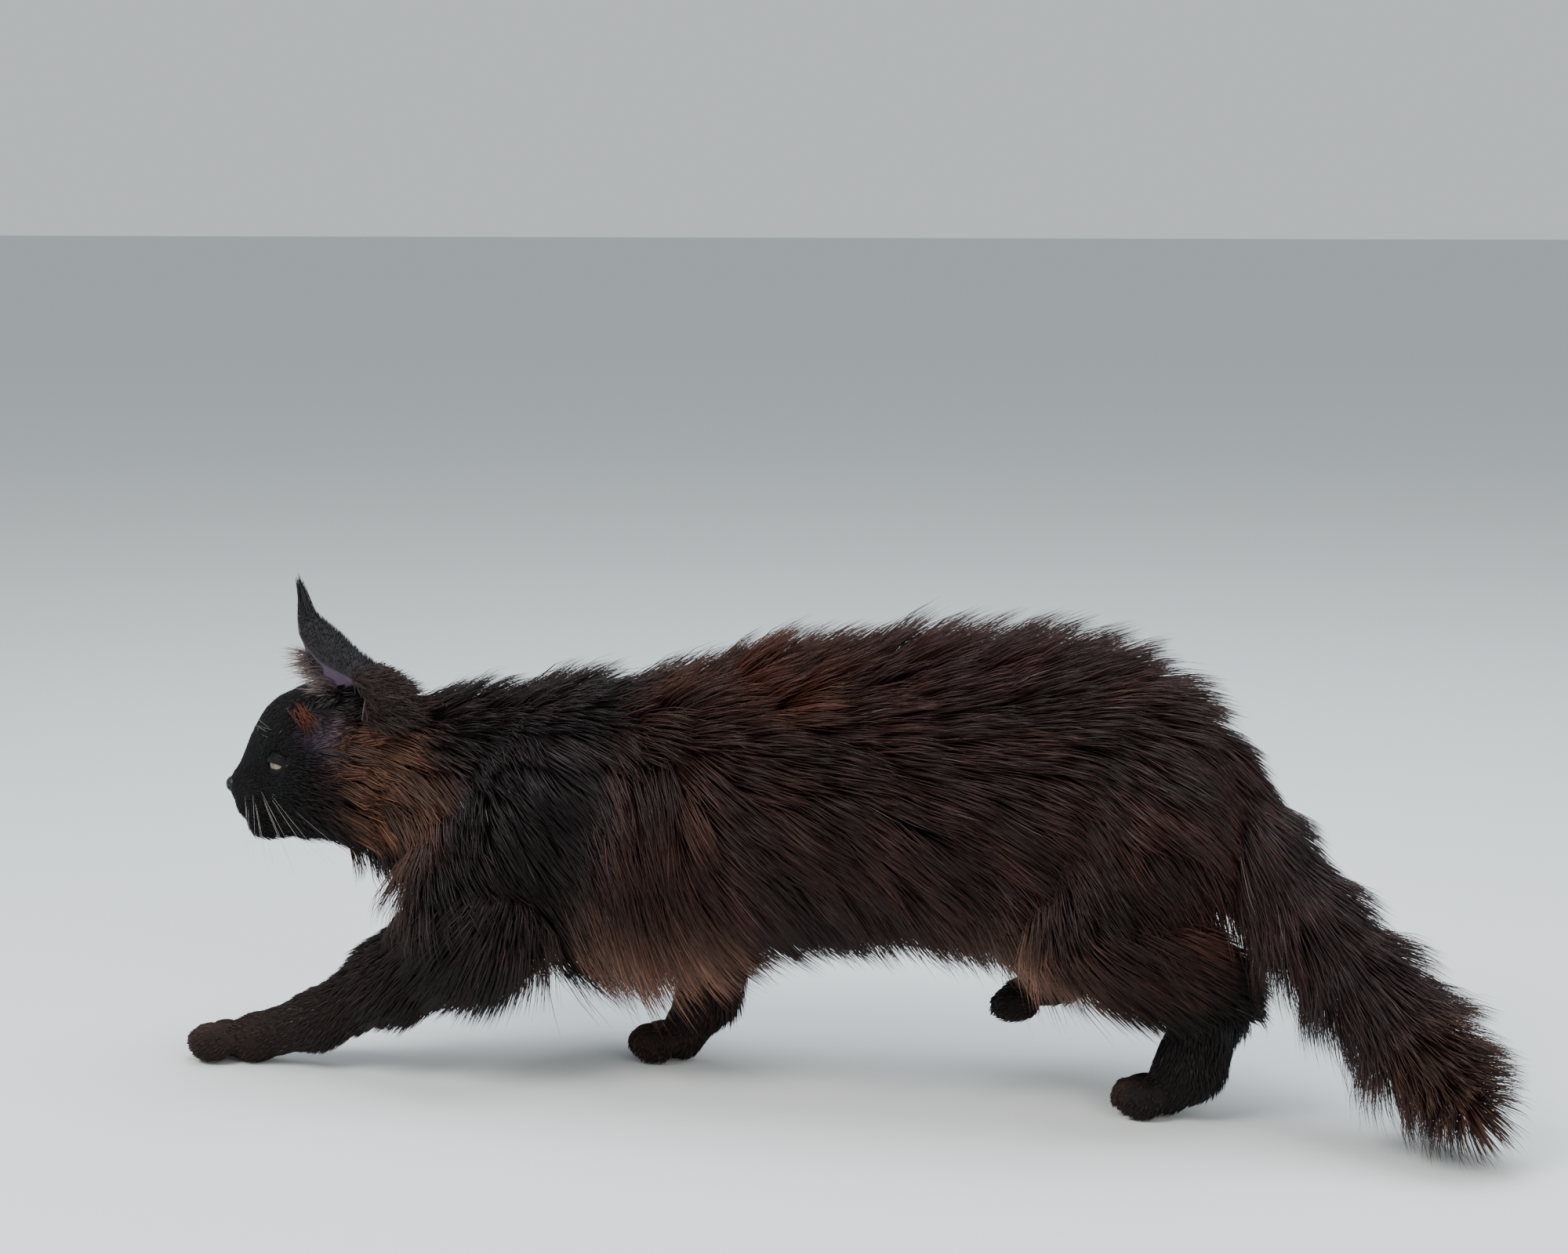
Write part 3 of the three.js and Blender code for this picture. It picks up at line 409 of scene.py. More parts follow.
# %% Materials of the coat
def linear(code):
    """Linear colour of an sRGB hex code."""
    values = np.array([int(code[i:i + 2], 16) for i in (1, 3, 5)]) / 255
    return np.where(values <= 0.04045, values / 12.92, ((values + 0.055) / 1.055) ** 2.4)


def add(tree, kind, settings=(), **inputs):
    """A node. Each input takes a plain value, or a socket of another node to link from."""
    node = tree.nodes.new(kind)
    for name, value in settings:
        setattr(node, name, value)
    for name, value in inputs.items():
        socket = node.inputs[name.replace("_", " ")]
        if isinstance(value, bpy.types.NodeSocket):
            tree.links.new(value, socket)
        else:
            socket.default_value = value
    return node


def material(name, colour=None, **values):
    """A surface with one shader. Without a colour it takes the painted attribute."""
    made = bpy.data.materials.new(name)
    made.use_nodes = True
    shader = made.node_tree.nodes["Principled BSDF"]
    for key, value in values.items():
        shader.inputs[key.replace("_", " ")].default_value = value
    if colour is not None:
        shader.inputs["Base Color"].default_value = (*linear(colour), 1)
    else:
        paint = add(made.node_tree, "ShaderNodeVertexColor", [("layer_name", "Coat")])
        made.node_tree.links.new(paint.outputs["Color"], shader.inputs["Base Color"])
    return made


# Long guard hair is smooth keratin, which gives a soft sheen along each lock.
hair = material("long hair", Roughness=0.5, Specular_IOR_Level=0.28)
# Short hair on face and feet scatters the light, so it looks duller and darker.
short_hair = material("short hair", Roughness=0.55, Specular_IOR_Level=0.22)
# The hide only shows between the tufts. It is matt, and its painted colours are a little darker than theirs
# as painted shade under the coat.
hide = material("skin under the coat", Roughness=0.8, Specular_IOR_Level=0.15)
# Nose leather is damp and pebbled, with a broad weak shine.
nose_leather = material("nose leather", "#121014", Roughness=0.45, Specular_IOR_Level=0.25)
# A whisker is stiff, thick keratin, pale and smooth enough to catch the light.
whisker_hair = material("whisker", "#a9a5a2", Roughness=0.4)
print("materials", [made.name for made in (hair, short_hair, hide, nose_leather, whisker_hair)])

# %% [markdown]
# ## Markings
# The coat is near black on the face, rusty along the back and pale at the belly's fringe, as
# a dark coat bleaches in the sun. The lighter rust on the top of the back is partly that rust and
# partly painted sheen, and a lavender patch on the left temple is painted sheen. Each patch is a
# place with a reach and a colour. A point takes the blend of the patches near it, and a slow wave
# of light and dark runs through, so that no border shows.

# %% Colour of the coat at a place
PATCHES = [
    ((60, 0, 190), 70, "#08080b"), ((10, -10, 160), 50, "#060608"),
    ((100, -45, 180), 34, "#3f2a20"), ((95, -40, 150), 34, "#3d2a21"),
    ((110, 40, 170), 40, "#33221b"), ((160, 0, 235), 46, "#1a1112"),
    ((200, -50, 190), 52, "#150f12"), ((180, -55, 140), 46, "#17100f"),
    ((200, 50, 170), 60, "#171010"), ((275, -50, 215), 46, "#2c1a15"),
    ((260, -55, 150), 44, "#2c1813"), ((235, -45, 108), 30, "#7c5c4d"),
    ((270, -45, 106), 28, "#6a4c40"), ((250, 50, 100), 46, "#4a3128"),
    # the top of the back: the coat's rust, made lighter here as painted sheen
    ((330, 0, 250), 50, "#30190f"), ((430, 0, 262), 60, "#281412"),
    ((370, -55, 190), 60, "#24120e"), ((360, -50, 130), 50, "#1d1110"),
    ((470, -55, 190), 60, "#23120f"), ((440, -40, 100), 44, "#3a241d"),
    ((480, -25, 118), 34, "#7d5d4e"), ((400, 50, 180), 90, "#22120f"),
    ((545, -50, 190), 60, "#24130f"), ((560, 0, 250), 50, "#221310"),
    ((600, -20, 165), 42, "#402820"), ((590, -35, 130), 36, "#3a251e"),
    ((560, 50, 170), 70, "#261511"), ((627, -10, 175), 40, "#1d1318"),
    ((680, -45, 105), 40, "#241717"), ((740, -80, 50), 40, "#33211a"),
    ((765, -100, 18), 22, "#150d0b"),
    ((120, -37, 65), 46, "#170e0c"), ((50, -30, 28), 40, "#170f0d"),
    ((0, -28, 14), 34, "#1b100d"), ((-24, -28, 14), 16, "#33241f"),
    ((246, 28, 12), 14, "#2e201b"), ((556, -28, 12), 14, "#2a1e1a"),
    # the lavender patch on the left temple is painted sheen
    (from_head((8, 35, 17)), 14, "#3d3344"), (from_head((-18, 42, 2)), 26, "#4f3528"),
    ((290, 35, 50), 50, "#1c100d"),
    ((610, -32, 70), 40, "#0e0a0a"), ((590, -28, 25), 36, "#0e0909"),
    ((525, 30, 70), 44, "#1a0f0c"),
]
PATCH_FALL = 2.2
WAVE_SIZE, WAVE_DEPTH = 42, 0.35
patch_places = np.array([p for p, _, _ in PATCHES], float)
patch_reach = np.array([r for _, r, _ in PATCHES], float)
patch_colours = np.array([linear(c) for _, _, c in PATCHES])


def slow_wave(p, scale, seed):
    """A smooth value from -1 to 1 that changes over about `scale` millimetres."""
    draw = np.random.default_rng(seed)
    value = np.zeros(len(p))
    for _ in range(6):
        way = draw.normal(size=3)
        way /= np.linalg.norm(way)
        value += np.sin(p @ way * (2 * math.pi / scale) * draw.uniform(0.6, 1.7) + draw.uniform(0, 6.3))
    return np.clip(value / 3, -1, 1)


def coat_colour(p):
    distance = np.linalg.norm(p[:, None, :] - patch_places, axis=-1) / patch_reach
    weight = np.exp(-PATCH_FALL * distance ** 2) + 1e-6
    colour = (weight[..., None] * patch_colours).sum(1) / weight.sum(1)[:, None]
    return colour * (1 + WAVE_DEPTH * slow_wave(p, WAVE_SIZE, 3))[:, None]


print("patches of colour", len(PATCHES))

# %% [markdown]
# ## The skin itself
# The skin takes the place of every flesh node of the solids. It has the colours of the coat,
# a little darker as painted shade under the coat, so that the light that falls between the tufts
# finds no bare patch.

# %% Skin
UNDER_COAT_PAINTED_SHADE = 0.8
FLESH_NODES = ["head", "neck", "chest", "belly", "rump", "tail_base", "tail_middle", "tail_tip",
               *(f"leg_{name}" for name in LEGS)]
skin_colours = np.concatenate([coat_colour(chunk) for chunk in np.array_split(skin_points, 20)])
# the skin is darkened as painted shade under the coat
skin_colours *= UNDER_COAT_PAINTED_SHADE
skin = make_mesh("skin", skin_points, skin_faces, hide, skin_colours)
belongs(skin, "body_coat", *FLESH_NODES)
print("the skin replaces", len(FLESH_NODES), "nodes")

# %% [markdown]
# ## How the coat lies
# Hair runs back along the spine and down the flanks, short on the shoulder and long on ruff,
# belly and breeches. Combing curves by hand would do it too, but a table can be read and
# mended. Each guide is a place on one side of the body, the way the hair points there, its
# length and its lift in degrees. Places and ways count outwards from the midline.

# %% Guides of the body and of the head
BODY_GUIDES = np.array([
    (110, 0, 235, 1, 0, 0.2, 44, 38), (110, 36, 190, 0.85, 0.2, -0.5, 42, 28),
    (105, 30, 150, 0.45, 0.2, -0.9, 58, 34), (100, 0, 128, 0.25, 0, -1, 64, 40),
    (84, 0, 158, 0, 0, -1, 54, 40),
    (140, 0, 110, 0.5, 0, -0.95, 60, 36), (190, 0, 242, 1, 0, 0.2, 50, 34),
    (195, 46, 200, 0.75, 0.1, -0.65, 36, 22), (185, 58, 150, 0.6, 0.1, -0.8, 40, 22),
    (265, 50, 180, 0.35, 0.1, -0.95, 55, 22), (235, 40, 105, 0.3, 0, -1, 88, 30),
    (192, 35, 100, 0.5, 0, -0.95, 92, 32),
    (240, 0, 98, 0.4, 0, -0.95, 70, 34), (270, 0, 238, 0.95, 0, 0.3, 56, 36),
    (350, 10, 252, 0.9, 0, 0.5, 62, 36), (440, 10, 258, 0.9, 0, 0.5, 66, 35),
    (500, 10, 258, 0.9, 0, 0.35, 66, 30), (350, 45, 215, 0.95, 0.1, -0.1, 60, 28),
    (340, 55, 175, 0.85, 0.1, -0.45, 58, 24), (340, 45, 130, 0.6, 0.1, -0.8, 58, 26),
    (380, 38, 122, 0.55, 0.05, -0.9, 58, 30), (380, 0, 112, 0.7, 0, -0.75, 46, 34),
    (450, 45, 225, 0.95, 0.1, 0, 62, 30), (450, 55, 180, 0.9, 0.1, -0.4, 60, 26),
    (465, 45, 130, 0.4, 0.1, -0.95, 72, 30), (480, 20, 125, 0.3, 0, -1, 80, 36),
    (560, 10, 245, 0.8, 0, -0.15, 50, 29), (598, 15, 225, 0.65, 0.1, -0.8, 33, 22),
    (612, 10, 195, 0.6, 0.1, -0.8, 32, 20),
    (560, 55, 205, 0.8, 0.15, -0.55, 56, 28), (550, 58, 165, 0.65, 0.1, -0.75, 50, 24),
    (525, 60, 125, 0.5, 0.1, -0.9, 44, 24),
    (590, 30, 150, 0.45, 0.05, -0.95, 92, 34), (565, 45, 125, 0.6, 0, -0.8, 70, 36),
], float)
HEAD_GUIDES = np.array([
    (55, 0, 18, -1, 0, 0.5, 3, 14), (60, 9, 2, -0.8, 0.5, -0.2, 3, 16),
    (62, 12, -10, -0.8, 0.5, -0.4, 4, 20), (58, 4, -30, -0.7, 0, -0.7, 6, 25),
    (46, 5, 32, -0.8, 0, 0.6, 4, 16), (25, 8, 50, -1, 0.1, 0.3, 6, 18),
    (0, 10, 52, -1, 0.1, 0, 9, 20), (-15, 5, 50, -1, 0, -0.1, 16, 25),
    (40, 18, 25, -0.7, 0.4, 0.5, 4, 18), (35, 30, -5, -1, 0.2, -0.2, 6, 20),
    (26, 36, -8, -1, 0.3, -0.45, 13, 22), (10, 44, -8, -0.9, 0.3, -0.55, 30, 28),
    (-10, 44, -12, -0.8, 0.4, -0.7, 42, 32), (28, 22, -32, -0.5, 0.2, -0.8, 26, 32),
    (10, 28, -34, -0.3, 0.2, -0.95, 54, 48), (-5, 22, -36, -0.2, 0.2, -1, 60, 52),
    (36, 0, -35, -0.8, 0, -0.6, 10, 22), (24, 0, -38, -0.4, 0, -0.9, 30, 42),
    (6, 0, -38, -0.2, 0, -1, 46, 60),
    (10, 38, 14, -1, 0.2, -0.1, 5, 16),
    (-35, 30, 20, -0.9, 0.2, -0.5, 30, 30), (-42, 0, 25, -1, 0, -0.1, 30, 30),
], float)
NEAR_BLUR = 12                              # a guide nearer than this weighs no more


def blend_guides(guides, p):
    """Way, length and lift at each place, blended from the guides round it."""
    side = np.where(p[:, 1] < 0, -1.0, 1.0)
    q = p * 1.0
    q[:, 1] = np.abs(q[:, 1])
    gap = ((q[:, None, :] - guides[None, :, :3]) ** 2).sum(-1)
    weight = 1 / (gap + NEAR_BLUR ** 2) ** 2
    weight /= weight.sum(1)[:, None]
    mixed = weight @ guides[:, 3:]
    flow = mixed[:, :3]
    flow[:, 1] *= side
    return flow / np.linalg.norm(flow, axis=1)[:, None], mixed[:, 3], np.radians(mixed[:, 4])


print("guides on the body", len(BODY_GUIDES), "and on the head", len(HEAD_GUIDES))

# %% [markdown]
# ## Hair along the legs and the tail
# Here the hair simply follows the bones. It gets shorter towards the feet, and the tail is a
# brush: lifted more and more towards a blunt end, with long breeches under its root. So its
# length and lift depend on how far along the chain of bones a hair grows.

# %% Lie of the hair
def along_chain(p, stations):
    """Nearest bone: its direction, and the share along the whole chain."""
    best = np.full(len(p), 1e9)
    way = np.zeros((len(p), 3))
    share = np.zeros(len(p))
    for i, ((a, _), (b, _)) in enumerate(zip(stations, stations[1:])):
        a, b = np.array(a, float), np.array(b, float)
        t = np.clip((p - a) @ (b - a) / ((b - a) @ (b - a)), 0, 1)
        gap = np.linalg.norm(p - a - t[:, None] * (b - a), axis=1)
        near = gap < best
        best = np.where(near, gap, best)
        way[near] = (b - a) / np.linalg.norm(b - a)
        share[near] = (i + t[near]) / (len(stations) - 1)
    return way, share


def lie(group, p, normal):
    """Way the hair points, its length and its lift for places of one group."""
    if group == "head":
        flow, length, lift = blend_guides(HEAD_GUIDES, to_head(p))
        return flow @ HEAD_AXES, length, lift
    if group == "trunk":
        return blend_guides(BODY_GUIDES, p)
    if group == "tail":
        way, share = along_chain(p, TAIL)
        under = np.clip(normal @ np.array([-0.8, 0, -0.6]), 0, 1) * np.clip(1 - 1.7 * share, 0, 1)
        over = np.clip(normal @ np.array([0.8, 0, 0.6]), 0, 1) * np.clip(1 - 1.5 * share, 0, 1)
        length = np.interp(share, [0, 0.7, 0.88, 1], [54, 52, 44, 33]) + 42 * under - 24 * over
        lift = np.interp(share, [0, 0.5, 0.75, 0.9, 1], [31, 35, 42, 52, 64]) - 12 * over
        return way + 0.45 * normal - np.array([0.0, 0, 0.5]) * under[:, None], length, np.radians(lift)
    way, share = along_chain(p, LEGS[group])
    behind = np.clip(normal[:, 0], 0, 1)
    rear = group.startswith("rear")
    length = np.interp(share, [0, 0.2, 0.35, 0.7, 1], [54, 34, 14, 8, 5] if rear else [38, 31, 23, 9, 5])
    flow = way + np.array([0.25, 0, -0.15])
    lift = np.interp(share, [0, 0.3, 0.6, 0.85], [30, 27, 21, 14])
    return flow, length * (1 + (0.3 if rear else 0.5) * behind), np.radians(lift)


crest = lie("trunk", np.array([[440.0, -10.0, 258.0]]), np.array([[0.0, 0.0, 1.0]]))
print("hair on the back:", crest[1].round(), "mm long, lifted", np.degrees(crest[2]).round(), "degrees")

# %% [markdown]
# ## Tufts
# Real hair is finer than a mesh can hold, so a tuft stands for a small bundle of it: a thin
# closed spike with three sides. It leaves the skin, bends over along the lie and ends in a
# point. Blender's own hair curves would be lost in the export, and a spike stays.

# %% Making tufts
def bend(root, knee, tip, t):
    return (1 - t) ** 2 * root + 2 * t * (1 - t) * knee + t ** 2 * tip


def tuft_arrays(root, knee, tip, width, wave, stops):
    """Points and triangles of closed three-sided tufts, one for each root."""
    n = len(root)
    chord = tip - root
    chord /= np.linalg.norm(chord, axis=1)[:, None]
    side = np.cross(chord, knee - root)
    side /= np.maximum(np.linalg.norm(side, axis=1), 1e-9)[:, None]
    top = np.cross(side, chord)
    rings = []
    for t, share in stops:
        centre = bend(root, knee, tip, t) + wave(t, side, top)
        half = (width * share)[:, None]
        rings += [centre + side * half, centre + top * half * 0.8, centre - side * half]
    end = bend(root, knee, tip, 1.0) + wave(1.0, side, top)
    points = np.stack(rings + [end], 1)
    count = len(rings) + 1
    corners = [(0, 1, 2)]
    for r in range(len(stops) - 1):
        for s in range(3):
            a, b = r * 3 + s, r * 3 + (s + 1) % 3
            corners += [(a, a + 3, b), (b, a + 3, b + 3)]
    last = (len(stops) - 1) * 3
    corners += [(last + s, count - 1, last + (s + 1) % 3) for s in range(3)]
    faces = (np.arange(n)[:, None, None] * count + np.array(corners)[None]).reshape(-1, 3)
    return points.reshape(-1, 3), faces, count


# share of the length, and share of the width there
LONG_STOPS = ((0.0, 0.8), (0.38, 1.0), (0.74, 0.62))
SHORT_STOPS = ((0.0, 0.9), (0.55, 0.8))


def sample_skin(points, faces, density):
    """Random places on quads: `density` gives tufts per square millimetre at each centre."""
    a, b, c, d = (points[faces[:, i]] for i in range(4))
    area = 0.5 * np.linalg.norm(np.cross(c - a, d - b), axis=1)
    normal = np.cross(c - a, d - b)
    normal /= np.maximum(np.linalg.norm(normal, axis=1), 1e-9)[:, None]
    expected = area * density((a + b + c + d) / 4)
    counts = rng.poisson(expected)
    pick = np.repeat(np.arange(len(faces)), counts)
    u, v = rng.random((2, len(pick), 1))
    place = (a[pick] * (1 - u) + b[pick] * u) * (1 - v) + (d[pick] * (1 - u) + c[pick] * u) * v
    return place, normal[pick]


print("rings of a long tuft", len(LONG_STOPS), "and of a short one", len(SHORT_STOPS))

# %% [markdown]
# ## A place on the unrolled skin
# The baker needs a flat map in which each tuft has a small patch of its own. The skin is
# unrolled part by part, along the bones and round them, into rectangles that don't overlap.
# That is plainer than cutting seams, and each patch sits at its root's place on the cat.

# %% Parts of the body and their unrolled map
GROUPS = ["head", "trunk", "tail", *LEGS]


def group_of(p):
    distances = [head_skin(p), body_distance(p, trunk_pieces), body_distance(p, tail_pieces)]
    distances += [body_distance(p, leg_pieces[name]) for name in LEGS]
    return np.argmin(np.stack(distances), 0)


# left and lower side, width and height of each part's rectangle
MAP_BOXES = {"head": (0.02, 0.02, 0.3, 0.3), "trunk": (0.02, 0.36, 0.96, 0.4), "tail": (0.36, 0.02, 0.3, 0.3)}
MAP_BOXES.update({name: (0.02 + 0.24 * i, 0.8, 0.22, 0.17) for i, name in enumerate(LEGS)})
HEAD_SPAN, TRUNK_SPAN = (-50, 75), (50, 630)
TRUNK_AXIS_Z = 180


def unwrap(group, p, normal):
    """A place on the unrolled skin: along the part, and round it, in a rectangle of its own."""
    u0, v0, wide, tall = MAP_BOXES[group]
    if group == "head":
        q = to_head(p)
        along = (q[:, 0] - HEAD_SPAN[0]) / (HEAD_SPAN[1] - HEAD_SPAN[0])
        turn = np.arctan2(q[:, 1], q[:, 2])
    elif group == "trunk":
        along = (p[:, 0] - TRUNK_SPAN[0]) / (TRUNK_SPAN[1] - TRUNK_SPAN[0])
        turn = np.arctan2(p[:, 1] * TRUNK_SQUASH, p[:, 2] - TRUNK_AXIS_Z)
    else:
        stations = TAIL if group == "tail" else LEGS[group]
        along = along_chain(p, stations)[1]
        turn = np.arctan2(normal[:, 1], normal[:, 0])
    along = np.clip(along, 0, 1)
    return np.stack([u0 + wide * along, v0 + tall * (turn / (2 * math.pi) + 0.5)], -1)


print("rectangles on the map", len(MAP_BOXES))

# %% [markdown]
# ## Growing a batch of tufts
# A loose long coat parts into locks, each of which bleaches and darkens on its own. So each
# tuft leans to the tip of the nearest lock and shares its tint, and a few pale guard hairs
# stand between. Geometry Nodes could scatter such tufts, but a lock needs its neighbours,
# its lie and its patch on the map together, which arrays give in one place.

# %% Tint and patch of each tuft
TUFT_SHADE, LOCK_SHADE = (0.6, 1.3), (0.8, 1.2)
RUFOUS_SHARE, RUFOUS = 0.3, np.array([0.6, 0.25, 0.15])
BLEACHED = linear("#7a523c")
PATCH_WIDE = 0.003


def tints(roots, length, lock, tan):
    """Colour of each tuft: its place's, varied by tuft and by lock, with some rufous and tan."""
    n = len(roots)
    tint = coat_colour(roots) * rng.uniform(*TUFT_SHADE, n)[:, None]
    tint *= rng.uniform(*LOCK_SHADE, n)[lock][:, None]
    rufous = (rng.random(n)[lock] < RUFOUS_SHARE)[:, None] * rng.uniform(0, 1, (n, 1))
    tint = tint * (1 + rufous * RUFOUS)
    bleached = (rng.random(n)[lock] < tan)[:, None] * rng.uniform(0, 1, (n, 1))
    bleached = bleached * np.clip(length / 30 - 0.5, 0, 1)[:, None]
    return tint + (BLEACHED - tint) * bleached


def stations_of(stops):
    """Share of the length at each point of a tuft."""
    return np.concatenate([np.repeat([t for t, _ in stops], 3), [1.0]])


def tuft_patches(spots, stops):
    """A small patch on the map for each tuft, from its root's spot."""
    across = np.concatenate([np.tile([0, 0.5, 1], len(stops)), [0.5]])
    patch = np.stack([across, stations_of(stops)], -1) * PATCH_WIDE
    return (spots[:, None] + patch).reshape(-1, 2)


print("each tuft's patch is", PATCH_WIDE, "of the map across")

# %% [markdown]
# ## From roots to a piece
# The tuft leaves its root by a knee and ends in a tip, which are worked out from the lie, so
# that long hair falls in a bow as its weight would make it. A piece that would grow too heavy
# for the export is begun anew.

# %% Growing tufts from roots
MOST_TRIANGLES = 190000
ROOT_DEPTH, ROOT_SHARE = 1.2, 0.12          # a root sinks this far, or this share of its length
SWAY = 0.16
KNEE_AHEAD, KNEE_UP, TIP_AHEAD, TIP_FLOW = 0.38, 0.85, 0.78, 0.2
KNEE_BESIDE, TIP_BESIDE = 0.7, 0.15         # how far tufts of one lock stay apart
GUARD_SHARE, GUARD_HALF, GUARD_COLOUR = 0.004, 0.18, linear("#6f6664")
TUFT_FLOOR = 0.5


def nearest_lock(roots, tufts_to_a_lock):
    """For each tuft, the tuft in the middle of its lock."""
    n = len(roots)
    middles = rng.choice(n, max(1, int(n / tufts_to_a_lock)), replace=False)
    tree = kdtree.KDTree(len(middles))
    for i, middle in enumerate(middles):
        tree.insert(Vector(roots[middle]), i)
    tree.balance()
    return middles[[tree.find(Vector(p))[1] for p in roots]]


def grow(name, group, roots, normals, slot, mat, widths, clump=0.5, tufts_to_a_lock=38,
         wavy=0.0, stops=LONG_STOPS, shortest=0.55, tan=0.0):
    """Pieces of coat from roots on one part of the body."""
    flow, length, lift = lie(group, roots, normals)
    n = len(roots)
    tangent = flow - (flow * normals).sum(1)[:, None] * normals
    tangent /= np.maximum(np.linalg.norm(tangent, axis=1), 1e-9)[:, None]
    tangent = tangent + np.cross(normals, tangent) * rng.normal(size=(n, 1)) * SWAY
    length = length * rng.uniform(shortest, 1.08, n)
    reach = (length * np.cos(lift))[:, None]
    depth = (length * np.sin(lift) * rng.uniform(0.7, 1.12, n))[:, None]
    base = roots - normals * np.minimum(ROOT_DEPTH, ROOT_SHARE * length)[:, None]
    knee = base + tangent * reach * KNEE_AHEAD + normals * depth * KNEE_UP
    tip = base + tangent * reach * TIP_AHEAD + normals * depth + flow * length[:, None] * TIP_FLOW
    lock = np.arange(n)
    if clump:
        lock = nearest_lock(roots, tufts_to_a_lock)
        pull = (clump * rng.uniform(0.6, 1.2, n))[:, None]
        beside = roots - roots[lock]
        tip = tip + (tip[lock] + beside * TIP_BESIDE - tip) * np.clip(pull, 0, 0.95)
        knee = knee + (knee[lock] + beside * KNEE_BESIDE - knee) * pull * 0.5
    phase = rng.uniform(0, 6.3, n)[lock][:, None]
    swing = (wavy * length)[:, None]

    def wave(t, side, top):
        bow = np.sin(phase + t * 7.0) * t
        return side * swing * bow + top * swing * 0.6 * np.cos(phase + t * 6.0) * t

    width = rng.uniform(*widths, n) / 2
    tint = tints(roots, length, lock, tan)
    guard = rng.random(n) < GUARD_SHARE
    tint[guard] = GUARD_COLOUR
    width[guard] = GUARD_HALF
    points, faces, count = tuft_arrays(base, knee, tip, width, wave, stops)
    points[:, 2] = np.maximum(points[:, 2], TUFT_FLOOR)
    # each tuft is darker at the root as painted shade inside the coat, and lighter at the tip as painted
    # highlight
    painted_root_shade_tip_highlight = (0.75 + 0.5 * stations_of(stops))[None, :, None]
    colours = (tint[:, None, :] * painted_root_shade_tip_highlight).reshape(-1, 3)
    patches = tuft_patches(unwrap(group, roots, normals), stops)
    each = len(faces) // n
    limit = MOST_TRIANGLES // each
    for number, i in enumerate(range(0, n, limit), 1):
        m = min(limit, n - i)
        own = slice(i * count, (i + m) * count)
        own_faces = faces[i * each:(i + m) * each] - i * count
        piece = make_mesh(f"{name}_{number}", points[own], own_faces, mat, colours[own], patches[own])
        belongs(piece, slot)
    print(name, n, "tufts", len(faces), "triangles")


# %% [markdown]
# ## The coat
# Tufts are densest on the face, where they are short, and sparsest on the trunk, where long
# ones cover one another. The ball of each eye, the nose and the soles stay bare. Roots are
# drawn at random on the quads of the skin, as many to each as its area asks for.

# %% Places for every tuft
# tufts to a square millimetre
FACE_TUFTS, CHEEK_TUFTS, TRUNK_TUFTS, TAIL_TUFTS, LEG_TUFTS = 0.7, 0.45, 0.24, 0.55, 0.3
HIDDEN_TUFTS = 0.02
CHEEK_U = 8
LID_MARGIN, NOSE_BARE, SOLE_BARE = 0.85, 6, 1.2


def share_of_tufts(p):
    group = group_of(p)
    density = np.select(
        [group == GROUPS.index("head"), group == GROUPS.index("trunk"), group == GROUPS.index("tail")],
        [FACE_TUFTS, TRUNK_TUFTS, TAIL_TUFTS], LEG_TUFTS)
    head = to_head(p)
    density = np.where((group == 0) & (head[:, 0] < CHEEK_U), CHEEK_TUFTS, density)
    density = np.where((group == 1) & (head[:, 0] > 0), HIDDEN_TUFTS, density)
    for side in (1, -1):
        ball = np.linalg.norm(head - EYE_PLACE * [1, side, 1], axis=1)
        density = np.where(ball < EYE_RADIUS + LID_MARGIN, 0, density)
    density = np.where(np.linalg.norm(head - NOSE_PLACE, axis=1) < NOSE_BARE, 0, density)
    return np.where(p[:, 2] < SOLE_BARE, 0, density)


THINNING = 1.0
roots, normals = sample_skin(skin_points, skin_faces, lambda p: share_of_tufts(p) * THINNING)
root_group = np.array(GROUPS)[group_of(roots)]
print("tufts in all", len(roots), {g: int((root_group == g).sum()) for g in GROUPS})

# %% [markdown]
# ## Coat of trunk and tail
# The long shaggy coat of the trunk is one surface on the cat. It is made in five pieces from
# neck to rump, each light enough to export whole. The tail clumps less, so that it looks
# like a brush.

# %% Trunk and tail
TRUNK_SPANS = [("neck", -100, 172), ("chest", 172, 300), ("belly", 300, 400),
               ("loin", 400, 490), ("rump", 490, 900)]


def pick(mask):
    return roots[mask], normals[mask]


for name, low, high in TRUNK_SPANS:
    mask = (root_group == "trunk") & (roots[:, 0] >= low) & (roots[:, 0] < high)
    grow(f"coat_{name}", "trunk", *pick(mask), "body_coat", hair, (0.45, 1.25))
grow("coat_tail", "tail", *pick(root_group == "tail"), "tail_coat", hair, (0.4, 1.05),
     clump=0.22, tufts_to_a_lock=30, shortest=0.75)

# %% [markdown]
# ## Coat of the legs
# The hair of the legs is short and close, so these tufts have one ring less, and a thicker
# spike covers the skin with fewer of them.

# %% Legs
for name in LEGS:
    grow(f"coat_leg_{name}", name, *pick(root_group == name), "leg_coat", short_hair, (0.8, 1.5),
         clump=0.3, tufts_to_a_lock=8, stops=SHORT_STOPS)

# %% [markdown]
# ## Coat of the head
# The face is like velvet, with hair of a few millimetres and no locks at all. Behind the
# cheekbone it turns into the ruff, which is wavy, hangs in locks and is bleached in places.

